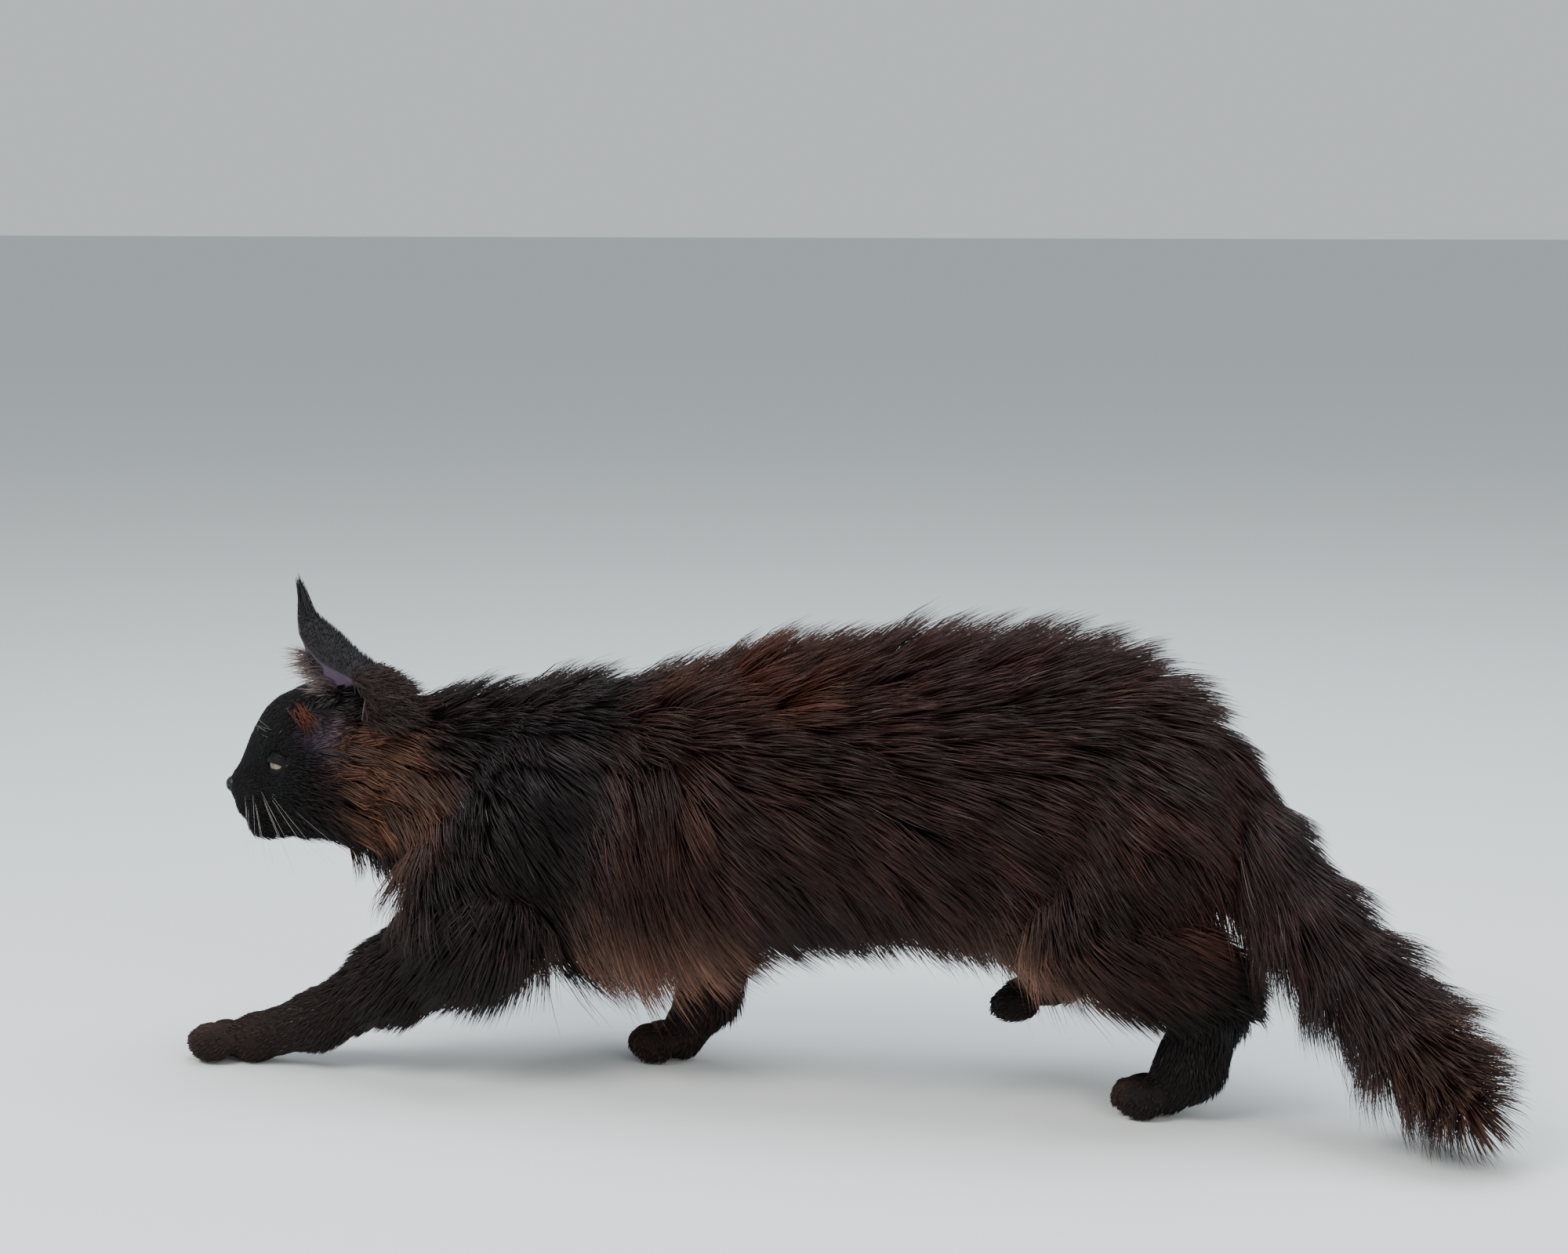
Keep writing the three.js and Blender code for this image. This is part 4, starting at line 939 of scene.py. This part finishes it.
# %% Face and cheeks
RUFF_U = 14
head_u = to_head(roots)[:, 0]
face = (root_group == "head") & (head_u >= RUFF_U)
cheek = (root_group == "head") & (head_u < RUFF_U)
grow("coat_face", "head", *pick(face), "face_coat", short_hair, (0.5, 0.9), clump=0, stops=SHORT_STOPS)
grow("coat_cheek", "head", *pick(cheek), "face_coat", hair, (0.5, 1.2),
     clump=0.7, tufts_to_a_lock=40, wavy=0.09, tan=0.4)

# %% [markdown]
# ## Eyes
# The real eye is a ball with a clear cornea over an amber iris and a slit pupil. A separate
# clear shell would show the room in it as a pale disc at this size, so the iris is painted on
# the ball by the angle from where it looks, under a thin clear coat that gives the wet glint.

# %% Eyes
BALL_RINGS, BALL_SIDES = 40, 48
IRIS_ANGLE = 44                             # degrees from the look to the iris's rim
SLIT_HALF, SLIT_TALL = 1.5, 7


def eye_axes(side):
    turn = math.radians(EYE_OUTWARD * side)
    look = np.array([math.cos(turn), math.sin(turn), 0])
    across = np.array([-math.sin(turn), math.cos(turn), 0])
    return look, across, np.array([0, 0, 1.0])


def ball_points(radius, rings, count):
    """Points of a ball whose pole looks ahead, as (look, across, up)."""
    lean = np.linspace(0, math.pi, rings + 1)[1:-1]
    turn = np.arange(count) * 2 * math.pi / count
    body = np.stack([np.repeat(np.cos(lean), count),
                     np.outer(np.sin(lean), np.cos(turn)).ravel(),
                     np.outer(np.sin(lean), np.sin(turn)).ravel()], -1) * radius
    points = np.concatenate([body, [[radius, 0, 0], [-radius, 0, 0]]])
    faces = []
    for r in range(rings - 2):
        for s in range(count):
            a, b = r * count + s, r * count + (s + 1) % count
            faces += [(a, a + count, b), (b, a + count, b + count)]
    front, back, last = len(body), len(body) + 1, (rings - 2) * count
    for s in range(count):
        t = (s + 1) % count
        faces += [(front, s, t), (back, last + t, last + s)]
    return points, np.array(faces)


def eye_colours(points):
    """Pale amber iris with a slit pupil and a dark rim, painted by the angle from the look."""
    angle = np.degrees(np.arccos(np.clip(points[:, 0] / EYE_RADIUS, -1, 1)))
    iris = (angle < IRIS_ANGLE)[:, None]
    colour = np.where(iris, linear("#66552f"), linear("#100c0b"))
    slit = np.abs(points[:, 1]) < SLIT_HALF * np.sqrt(np.clip(1 - (points[:, 2] / SLIT_TALL) ** 2, 0, 1))
    return np.where(slit[:, None] & iris, linear("#050506"), colour)


def place_eye(points, side):
    look, across, up = eye_axes(side)
    middle = EYE_PLACE * [1, side, 1]
    return from_head(middle + points[:, :1] * look + points[:, 1:2] * across + points[:, 2:] * up)


# Wet cornea over a coloured iris: the coat is nearly a mirror, the iris under it is not.
painted_eye = material("painted iris", Roughness=0.3, Coat_Weight=1.0, Coat_Roughness=0.03)
for name, side in (("eye_left", 1), ("eye_right", -1)):
    points, faces = ball_points(EYE_RADIUS, BALL_RINGS, BALL_SIDES)
    ball = make_mesh(f"ball_{name}", place_eye(points, side), faces, painted_eye, eye_colours(points))
    belongs(ball, "eye", name)
print("eyes of", 2 * EYE_RADIUS, "mm across")

# %% [markdown]
# ## Lids
# The lids are closed to a narrow pointed opening and lie on the ball like a thin cuff. They
# could be modelled into the skin, but its grid is too coarse for their rim. So each pair is a
# ring of its own: an outline of the opening, repeated outwards over the ball and back again.

# %% Lids
LID_WIDE, LID_TALL, LID_TILT = 7.4, 2.5, -16
LID_SIDES = 48
# how far outside the opening each ring lies, and how far over the ball
LID_RINGS = ((0.0, 0.4), (0.15, 1.0), (1.0, 1.5), (3.0, 1.7), (6.0, 1.2), (6.5, 0.6), (2.0, 0.3))


def lid_outline(turn):
    """Half opening of the lids at an angle round the look: pointed at both corners."""
    y = LID_WIDE * np.cos(turn)
    z = LID_TALL * np.sin(turn) * np.abs(np.sin(turn)) ** 0.3
    z = np.where(z < 0, z * 0.75, z)
    tilt = math.radians(LID_TILT)
    return y * math.cos(tilt) - z * math.sin(tilt), y * math.sin(tilt) + z * math.cos(tilt)


def lid_points(side):
    turn = np.arange(LID_SIDES) * 2 * math.pi / LID_SIDES
    y, z = lid_outline(turn)
    away = np.sqrt(y * y + z * z)
    rings = []
    for grow_by, lift_by in LID_RINGS:
        r = EYE_RADIUS + lift_by
        scale = np.minimum((away + grow_by) / away, (EYE_RADIUS - 0.3) / away)
        yy, zz = y * scale * side, z * scale
        x = np.sqrt(np.maximum(r * r - yy * yy - zz * zz, 0.5))
        rings.append(np.stack([x, yy, zz], -1))
    points = np.concatenate(rings)
    faces = []
    for r in range(len(rings)):
        first, after = r * LID_SIDES, (r + 1) % len(rings) * LID_SIDES
        for s in range(LID_SIDES):
            t = (s + 1) % LID_SIDES
            quad = (first + s, first + t, after + t, after + s)
            faces.append(quad if side > 0 else quad[::-1])
    return points, np.array(faces)


# The rim of a lid is bare black skin, matt beside the eye it frames.
lid_skin = material("lid rim", "#050506", Roughness=0.6, Specular_IOR_Level=0.15)
for name, side in (("left", 1), ("right", -1)):
    points, faces = lid_points(side)
    lids = make_mesh(f"lids_{name}", place_eye(points, side), faces, lid_skin)
    belongs(lids, "face_coat")
print("the lids open to", 2 * LID_WIDE, "by about", 2 * LID_TALL, "mm")

# %% [markdown]
# ## Nose
# The leather of the nose is a soft triangle with a groove down the middle and two
# comma-shaped nostrils. It could be cut with booleans. Here a ball is pushed in by smooth
# dents, which leaves no hard rim where the real one has none.

# %% Nose
NOSE_HALF = (4.6, 6.6, 5.2)
NOSE_RINGS, NOSE_SIDES = 40, 56
GROOVE_DEEP, GROOVE_WIDE, NOSTRIL_DEEP, NOSTRIL_APART = 0.7, 0.5, 3.0, 3.5


def nose_points():
    points, faces = ball_points(1.0, NOSE_RINGS, NOSE_SIDES)
    half = np.array(NOSE_HALF)
    p = points * half
    p[:, 1] *= 1 - 0.35 * np.clip(-p[:, 2] / half[2], 0, 1)
    front = np.clip(points[:, 0], 0, 1)
    p[:, 0] -= GROOVE_DEEP * np.exp(-(p[:, 1] / GROOVE_WIDE) ** 2) * front * (p[:, 2] < 1.5)
    for side in (1, -1):
        y = p[:, 1] * side - NOSTRIL_APART
        z = p[:, 2] + 0.8
        comma = np.exp(-((y - 0.5 * z) / 1.5) ** 2 - ((z + 0.35 * y) / 0.75) ** 2)
        p[:, 0] -= NOSTRIL_DEEP * comma * front
    return from_head(p + NOSE_PLACE), faces


nose = make_mesh("nose_leather", *nose_points(), nose_leather)
belongs(nose, "nose_leather", "nose")
print("nose leather", 2 * NOSE_HALF[1], "mm wide")

# %% [markdown]
# ## Ears
# Each ear is a thin cup of gristle, C-shaped in section, with bare lavender skin inside and a
# pale rim. A flat sheet with thickness could be bent to it. Here the section is worked out
# from a table of levels, so that the cup is the one of the solids and hair can find its wall.

# %% Ear cups
EAR_MIDDLE, EAR_THICK = 37, 2.0
EAR_FOOT, EAR_TOP = 20, 99.5
EAR_RINGS, EAR_SIDES = 50, 41
RIM_SHARE, RIM_WIDE = 0.06, 0.9
# level, middle and half width ahead, half width across, inner and outer edge in degrees
EAR_LEVELS = np.array([
    (18, -14.5, 26, 20, -80, 100), (34, -17.5, 29, 22, -74, 108), (47, -14.5, 26, 20.5, -66, 99),
    (61, -9.8, 20.2, 17, -60, 76), (72, -8, 15.8, 13.5, -56, 60), (82, -6, 11, 9.5, -52, 46),
    (92, -4.5, 5.6, 5, -48, 40), (99.5, -4.1, 1.6, 1.4, -46, 40),
], float)


def ear_surface(level, share, inset, side):
    """A place on the ear: level in w, share from the outer edge round the back to the inner edge."""
    rows = EAR_LEVELS.T
    u, half, across, inner, outer = (np.interp(level, rows[0], row) for row in rows[1:])
    turn = np.radians(outer + (360 + inner - outer) * share)
    x = u + (half - inset) * np.cos(turn)
    y = side * (EAR_MIDDLE + (across - inset) * np.sin(turn))
    return np.stack([x, y, level], -1)


def ear_points(side):
    levels = np.linspace(EAR_FOOT, EAR_TOP, EAR_RINGS)
    shares = np.linspace(0, 1, EAR_SIDES)
    grid_level, grid_share = np.meshgrid(levels, shares, indexing="ij")
    thick = np.minimum(EAR_THICK, 0.4 * np.interp(levels, EAR_LEVELS[:, 0], EAR_LEVELS[:, 3]))
    rim = np.clip(np.minimum(shares, 1 - shares) / RIM_SHARE, 0.25, 1)
    outer = ear_surface(grid_level.ravel(), grid_share.ravel(), 0.0, side)
    inset = (thick[:, None] * rim[None]).ravel()
    inner = ear_surface(grid_level.ravel(), grid_share.ravel(), inset, side)
    n, m = len(levels), len(shares)
    points = np.concatenate([outer, inner])
    quads = []
    for i in range(n - 1):
        for j in range(m - 1):
            a, b, c, d = i * m + j, i * m + j + 1, (i + 1) * m + j + 1, (i + 1) * m + j
            quads += [(a, b, c, d), (a + n * m, d + n * m, c + n * m, b + n * m)]
        a, d = i * m, (i + 1) * m
        quads.append((a, d, d + n * m, a + n * m))
        a, d = i * m + m - 1, (i + 1) * m + m - 1
        quads.append((a, a + n * m, d + n * m, d))
    for j in range(m - 1):
        quads.append((j, j + n * m, j + 1 + n * m, j + 1))
        a = (n - 1) * m + j
        quads.append((a, a + 1, a + 1 + n * m, a + n * m))
    quads = np.array(quads)
    inside = np.concatenate([np.zeros(n * m), np.ones(n * m)])
    across = np.interp(points[:, 2], EAR_LEVELS[:, 0], EAR_LEVELS[:, 2])
    edge = np.concatenate([np.tile(np.minimum(shares, 1 - shares), n)] * 2) * 3.4 * across < RIM_WIDE
    colour = np.where(inside[:, None] > 0, linear("#6f5c74"), linear("#121014"))
    # the inside of the cup is darkened towards its foot as painted shade in the hollow
    hollow_painted_shade = np.clip((45 - points[:, 2]) / 20, 0, 1)[:, None]
    colour = colour * (1 - 0.4 * hollow_painted_shade * inside[:, None]) + edge[:, None] * linear("#5d525f") * 0.5
    return points, quads if side > 0 else quads[:, ::-1], colour


# Ear skin is thin bare hide, soft and dull, in which the blood gives the lavender.
ear_skin = material("ear skin", Roughness=0.6, Specular_IOR_Level=0.15)
for name, side in (("ear_left", 1), ("ear_right", -1)):
    points, quads, colour = ear_points(side)
    ear = make_mesh(f"cup_{name}", from_head(points), quads, ear_skin, colour)
    belongs(ear, "ear", name)
print("ears rise to level", EAR_TOP, "over the middle of the head")

# %% [markdown]
# ## Tufts with ways of their own
# Hair on ears and lids doesn't follow the guides of the skin: each kind has a root, a way and
# a length of its own. One function bends and builds them all. Their patches on the map sit at
# the root's place too, seen along the ear, with a little scatter where two kinds share a place.

# %% Tufts of ears and lids
EAR_STOPS = ((0, 0.8), (0.3, 1), (0.6, 0.8), (0.85, 0.5))
FREE_SINK = 0.3
EAR_MAPS, EAR_MAP_SIZE, MAP_SCATTER = ((0.68, 0.84), 0.02), (0.12, 0.28), 0.006
EAR_SPAN_U, EAR_SPAN_W = (-60, 80), (-20, 115)


def ear_spots(root):
    """Place on the map of roots in the head's frame, with a rectangle for each side."""
    corner = np.stack([np.where(root[:, 1] > 0, *EAR_MAPS[0]), np.full(len(root), EAR_MAPS[1])], -1)
    low, high = np.array([EAR_SPAN_U, EAR_SPAN_W], float).T
    share = np.clip((root[:, [0, 2]] - low) / (high - low), 0, 1)
    scatter = np.stack([rng.random(len(root)), rng.random(len(root))], -1)
    return corner + share * EAR_MAP_SIZE + scatter * MAP_SCATTER


def bent(root, way, outward, length, lift):
    """Root, knee and tip in the cat's frame of tufts given in the head's."""
    way = way / np.linalg.norm(way, axis=1)[:, None]
    base = root - outward * FREE_SINK
    rise = (length * np.sin(lift))[:, None]
    knee = base + way * (length * 0.45)[:, None] + outward * rise * 0.6
    tip = base + way * (length * np.cos(lift))[:, None] + outward * rise
    return from_head(base), from_head(knee), from_head(tip)


def free_tufts(name, root, way, outward, length, lift, width, colour, wavy, short):
    """A piece of tufts with their own roots and ways, all in the head's frame."""
    stops, mat = (SHORT_STOPS, short_hair) if short else (EAR_STOPS, hair)
    phase = rng.uniform(0, 6.3, (len(root), 1))
    swing = (wavy * length)[:, None]
    wave = lambda t, side, top: side * swing * np.sin(phase + 6 * t) * t
    points, faces, count = tuft_arrays(*bent(root, way, outward, length, lift), width / 2, wave, stops)
    patches = tuft_patches(ear_spots(root), stops)
    piece = make_mesh(name, points, faces, mat, np.repeat(colour, count, 0), patches)
    belongs(piece, "face_coat")


print("rings of an ear's tuft", len(EAR_STOPS))

# %% [markdown]
# ## Hair of ears, lids and brows
# The back of the ear is velvet, its foot is wrapped in hair that runs into the ruff, long
# pale furnishings fan out of the front edge, and a tuft crowns the tip as on a lynx. Each
# kind is a short function that gives roots and ways, and a table says how many and how dark.

# %% Kinds of hair
def ear_normal(level, share, side):
    a = ear_surface(level, share, 0.0, side)
    b = ear_surface(level, share, 1.0, side)
    out = a - b
    return out / np.linalg.norm(out, axis=1)[:, None]


def ear_back(side, n):
    """Velvet over the outside of the ear."""
    level = 30 + 68 * rng.random(n) ** 1.2
    share = rng.uniform(0.01, 0.99, n)
    root = ear_surface(level, share, 0.2, side)
    outward = ear_normal(level, share, side)
    way = np.tile([-0.2, 0, 1.0], (n, 1)) + rng.normal(size=(n, 3)) * 0.05
    return root, way, outward, rng.uniform(2.5, 4, n), np.full(n, 0.14)


def ear_base(side, n):
    """Longer hair that wraps the foot of the ear and runs back into the ruff."""
    level = 20 + 30 * rng.random(n) ** 1.5
    share = rng.uniform(0.0, 0.7, n)
    root = ear_surface(level, share, 0.2, side)
    outward = ear_normal(level, share, side)
    fade = np.clip((50 - level) / 30, 0, 1)
    way = np.tile([-0.8, 0.05 * side, 0.0], (n, 1)) + rng.normal(size=(n, 3)) * 0.22
    way[:, 2] -= 0.7 * fade
    return root, way, outward, 5 + 24 * fade * rng.uniform(0.5, 1, n), np.full(n, 0.12)


def ear_fringe(side, n):
    """Hair along the outer edge, over its foot."""
    level = rng.uniform(19, 46, n)
    root = ear_surface(level, rng.uniform(0.0, 0.05, n), 0.6, side)
    way = np.tile([-0.5, 0.25 * side, -0.5], (n, 1)) + rng.normal(size=(n, 3)) * 0.25
    return root, way, np.tile([0.2, side, 0.0], (n, 1)), rng.uniform(7, 16, n), np.full(n, 0.3)


def ear_furnishing(side, n):
    """Long fine hair that fans out of the inner edge."""
    level = rng.uniform(26, 70, n)
    share = rng.uniform(0.9, 0.995, n)
    root = ear_surface(level, share, 1.2, side)
    outward = np.tile([0.8, 0.5 * side, 0.1], (n, 1))
    way = np.tile([0.8, 0.5 * side, 0.3], (n, 1)) + rng.normal(size=(n, 3)) * 0.2
    return root, way, outward, rng.uniform(8, 22, n), np.full(n, 0.1)


def ear_tip(side, n):
    """The tuft at the tip, drawn together towards one point."""
    level = EAR_TOP - rng.uniform(0, 14, n)
    share = rng.uniform(0.02, 0.98, n)
    root = ear_surface(level, share, 0.4, side)
    aim = np.array([-7.5, EAR_MIDDLE * side, 112.0]) + rng.normal(size=(n, 3)) * [1.0, 0.8, 3.0]
    way = aim - root
    length = np.linalg.norm(way, axis=1)
    return root, way, ear_normal(level, share, side), length, np.full(n, 0.03)


def lid_hair(side, n):
    """Short hair on the lids, running back from the opening."""
    turn = rng.uniform(0, 2 * math.pi, n)
    y, z = lid_outline(turn)
    away = np.sqrt(y * y + z * z)
    scale = np.minimum((away + rng.uniform(1.2, 8, n)) / away, 10.0 / away)
    yy, zz = y * scale * side, z * scale
    over = EYE_RADIUS + 1.3
    x = np.sqrt(np.maximum(over ** 2 - yy * yy - zz * zz, 1))
    look, across, up = eye_axes(side)
    outward = (x[:, None] * look + yy[:, None] * across + zz[:, None] * up) / over
    root = EYE_PLACE * [1, side, 1] + outward * over
    way = np.tile([-0.9, 0.35 * side, 0.0], (n, 1)) + zz[:, None] * [0, 0, 0.06]
    way = way + rng.normal(size=(n, 3)) * 0.1
    way -= (way * outward).sum(1)[:, None] * outward
    return root, way, outward, rng.uniform(2.2, 3.6, n), np.full(n, 0.2)


def brow_tuft(side, n):
    """A small rufous tuft in front of the ear."""
    root = np.array([15.0, 31.0 * side, 37.0]) + rng.normal(size=(n, 3)) * [3.0, 1.2, 3.0]
    way = np.tile([-0.3, 0.25 * side, -0.8], (n, 1)) + rng.normal(size=(n, 3)) * 0.2
    return root, way, np.tile([0.2, side, 0.3], (n, 1)), rng.uniform(12, 24, n), np.full(n, 0.25)


# piece, kind, tufts, widths, colour, range of shades, waviness, short hair or not
EAR_HAIR = [
    ("coat_ear", ear_back, 4200, (0.35, 0.6), "#131116", (0.85, 1.2), 0.0, True),
    ("coat_lid", lid_hair, 700, (0.3, 0.5), "#131116", (0.595, 0.84), 0.0, True),
    ("ear_base", ear_base, 1500, (0.4, 0.9), "#231713", (0.4, 1.8), 0.05, False),
    ("brow_tuft", brow_tuft, 48, (0.25, 0.45), "#5a2c17", (0.4, 1.2), 0.05, False),
    ("ear_fringe", ear_fringe, 420, (0.3, 0.7), "#231713", (0.4, 1.8), 0.05, False),
    ("furnishing", ear_furnishing, 420, (0.3, 0.6), "#8c7f7a", (0.5, 1.2), 0.03, False),
    ("tip_tuft", ear_tip, 150, (0.4, 0.8), "#131116", (0.85, 1.2), 0.02, False),
]
for name, side in (("left", 1), ("right", -1)):
    for piece, kind, tufts, widths, code, shades, wavy, short in EAR_HAIR:
        places = kind(side, tufts)
        width = rng.uniform(*widths, tufts)
        colour = linear(code) * rng.uniform(*shades, (tufts, 1))
        free_tufts(f"{piece}_{name}", *places, width, colour, wavy, short)
    print("hair of the ear and eye on the", name, sum(row[2] for row in EAR_HAIR), "tufts")

# %% [markdown]
# ## Whiskers
# A whisker is a stiff tapered hair that springs from the pad of the muzzle in rows, and a few
# stand over each eye. Each follows a line, which is just what Geometry Nodes are good at: a
# ring is swept along every line, scaled down towards the tip, and its ends are closed.

# %% Lines of the whiskers
WHISKER_THICK, WHISKER_TIP = 0.14, 0.06
WHISKER_ROWS, WHISKER_COLUMNS, BROW_WHISKERS = 3, 4, 4
LINE_SHARES = [t for t, _ in EAR_STOPS] + [1.0]
LINE_TAPER = [share for _, share in EAR_STOPS] + [WHISKER_TIP]


def whisker_rows(side):
    root, way, length = [], [], []
    for row in range(WHISKER_ROWS):
        for column in range(WHISKER_COLUMNS):
            root.append((61 - 5 * column, (16.5 + 1.5 * column) * side, -4 - 3.6 * row))
            way.append((0.4 - 0.35 * column, 0.8 * side, -0.6 - 0.3 * row))
            length.append(30 + 10 * column)
    for k in range(BROW_WHISKERS):
        root.append((36 - 2 * k, 18.5 * side, 25 + k))
        way.append((0.5, 0.5 * side, 0.6))
        length.append(20 + 3 * k)
    return np.array(root, float), np.array(way, float), np.array(length, float)


def whisker_lines(name, root, way, length, side):
    """An object of bare lines, with the taper and the turn of each point as attributes."""
    outward = np.tile([0.0, 0.2 * side, -1.0], (len(root), 1))
    base, knee, tip = bent(root, way, outward, length, np.full(len(root), 0.3))
    turn = rng.uniform(0, 6.3, len(root))
    points = np.stack([bend(base, knee, tip, t) for t in LINE_SHARES], 1).reshape(-1, 3)
    stops = len(LINE_SHARES)
    edges = [(i, i + 1) for i in range(len(points)) if (i + 1) % stops]
    mesh = bpy.data.meshes.new(name)
    mesh.from_pydata(((points - MIDDLE) * MM).tolist(), edges, [])
    for kind, values in (("taper", np.tile(LINE_TAPER, len(root))), ("turn", np.repeat(turn, stops))):
        mesh.attributes.new(kind, "FLOAT", "POINT").data.foreach_set("value", values.astype(np.float32))
    lines = bpy.data.objects.new(name, mesh)
    bpy.context.scene.collection.objects.link(lines)
    return lines


print("whiskers on each side", WHISKER_ROWS * WHISKER_COLUMNS + BROW_WHISKERS)

# %% [markdown]
# ## A tree that sweeps a ring along each line
# The tree has the radius and the number of sides as named inputs. It ends in Realize
# Instances and Set Material, because the export drops instances. The result is then made a
# plain mesh, one for each side, and each whisker gets its patch on the map.

# %% Whiskers
WHISKER_SIDES = 3


def whisker_tree():
    tree = bpy.data.node_groups.new("whiskers along lines", "GeometryNodeTree")
    for name, kind in (("Lines", "Geometry"), ("Radius", "Float"), ("Sides", "Int")):
        tree.interface.new_socket(name, in_out="INPUT", socket_type="NodeSocket" + kind)
    tree.interface.new_socket("Whiskers", in_out="OUTPUT", socket_type="NodeSocketGeometry")
    given = add(tree, "NodeGroupInput").outputs
    curves = add(tree, "GeometryNodeMeshToCurve", Mesh=given["Lines"]).outputs["Curve"]
    turn = add(tree, "GeometryNodeInputNamedAttribute", [("data_type", "FLOAT")], Name="turn")
    taper = add(tree, "GeometryNodeInputNamedAttribute", [("data_type", "FLOAT")], Name="taper")
    turned = add(tree, "GeometryNodeSetCurveTilt", Curve=curves, Tilt=turn.outputs["Attribute"])
    ring = add(tree, "GeometryNodeCurvePrimitiveCircle", Resolution=given["Sides"], Radius=given["Radius"])
    swept = add(tree, "GeometryNodeCurveToMesh", Curve=turned.outputs["Curve"], Fill_Caps=True,
                Profile_Curve=ring.outputs["Curve"], Scale=taper.outputs["Attribute"])
    real = add(tree, "GeometryNodeRealizeInstances", Geometry=swept.outputs["Mesh"])
    painted = add(tree, "GeometryNodeSetMaterial", Geometry=real.outputs["Geometry"], Material=whisker_hair)
    add(tree, "NodeGroupOutput", Whiskers=painted.outputs["Geometry"])
    return tree


def sweep(lines, tree, **values):
    """Runs the tree on the lines, and keeps the result as the object's plain mesh."""
    modifier = lines.modifiers.new("sweep", "NODES")
    modifier.node_group = tree
    for name, value in values.items():
        modifier[tree.interface.items_tree[name].identifier] = value
    evaluated = lines.evaluated_get(bpy.context.evaluated_depsgraph_get())
    plain = bpy.data.meshes.new_from_object(evaluated)
    lines.modifiers.clear()
    lines.data = plain


def whisker_patches(plain, root):
    """Each corner's place on the map: its whisker's spot, with its own place in the patch."""
    ring_points = len(LINE_SHARES) * WHISKER_SIDES
    corner = np.zeros(len(plain.loops), np.int32)
    plain.loops.foreach_get("vertex_index", corner)
    stop, side = np.divmod(corner % ring_points, WHISKER_SIDES)
    inside = np.stack([side / (WHISKER_SIDES - 1), np.array(LINE_SHARES)[stop]], -1) * PATCH_WIDE
    layer = plain.uv_layers.new(name="OFBake")
    layer.data.foreach_set("uv", (ear_spots(root)[corner // ring_points] + inside).astype(np.float32).ravel())


tree = whisker_tree()
for name, side in (("left", 1), ("right", -1)):
    root, way, length = whisker_rows(side)
    way = way + rng.normal(size=way.shape) * 0.12
    whiskers = whisker_lines(f"whiskers_{name}", root, way, length, side)
    sweep(whiskers, tree, Radius=WHISKER_THICK / 2 * MM, Sides=WHISKER_SIDES)
    whisker_patches(whiskers.data, root)
    belongs(whiskers, "face_coat")
    print("whiskers on the", name, len(whiskers.data.polygons), "faces")

# %% [markdown]
# ## Floor
# The cat stands on a pale matt studio floor without a seam. It is wide enough that its far
# edge lies at the horizon, which a small card would not reach.

# %% Floor
FLOOR_WIDE = 80                             # metres

# Matt painted board: nothing but a soft shadow shows in it.
studio_board = material("pale floor", "#c9cfd1", Roughness=0.9)
bpy.ops.mesh.primitive_plane_add(size=FLOOR_WIDE, location=(0, 0, 0))
floor = bpy.context.object
floor.name = "floor"
floor.data.materials.append(studio_board)
print("floor", FLOOR_WIDE, "m wide")

# %% [markdown]
# ## Lights
# A dark coat only shows its locks by their sheen, so the light is large and soft and comes
# from more than one side: a key from the front left, a top light and a weaker fill.

# %% Lights
WORLD_STRENGTH = 0.9
LIGHT_AIM = (0, 0, 0.15)


def area_light(name, place, size, power, colour):
    data = bpy.data.lights.new(name, "AREA")
    data.size = size
    data.energy = power
    data.color = linear(colour)
    lamp = bpy.data.objects.new(name, data)
    lamp.location = place
    lamp.rotation_euler = (Vector(LIGHT_AIM) - Vector(place)).to_track_quat("-Z", "Y").to_euler()
    bpy.context.scene.collection.objects.link(lamp)


area_light("key", (-1.2, -1.6, 2.2), 1.4, 95, "#fffaf2")
area_light("top", (0.3, 0.4, 2.4), 1.8, 80, "#f3f8ff")
area_light("fill", (1.8, -1.8, 1.2), 1.8, 45, "#fff6ec")
world = bpy.data.worlds.new("room")
world.use_nodes = True
background = world.node_tree.nodes["Background"]
background.inputs["Color"].default_value = (*linear("#d7dde0"), 1)
background.inputs["Strength"].default_value = WORLD_STRENGTH
bpy.context.scene.world = world
print("lights of the room at strength", WORLD_STRENGTH)

# %% [markdown]
# ## Camera
# The photo is taken with a long lens from a little above the cat, beside its flank and
# slightly behind it. A long lens keeps the near legs from looking larger than the far ones.

# %% Camera
CAMERA_PLACE = np.array([717.5, -1784.0, 537.9])
CAMERA_WAY = (-0.2056, 0.9786)
CAMERA_PITCH = 8.0
LENS, SENSOR = 70, 36                       # millimetres
camera_data = bpy.data.cameras.new("camera")
camera_data.lens = LENS
camera_data.sensor_width = SENSOR
camera = bpy.data.objects.new("camera", camera_data)
camera.location = Vector((CAMERA_PLACE - MIDDLE) * MM)
down = math.radians(CAMERA_PITCH)
aim = Vector((CAMERA_WAY[0] * math.cos(down), CAMERA_WAY[1] * math.cos(down), -math.sin(down)))
camera.rotation_euler = aim.to_track_quat("-Z", "Y").to_euler()
bpy.context.scene.collection.objects.link(camera)
bpy.context.scene.camera = camera
print("camera", round(camera.location.z, 2), "m above the floor")
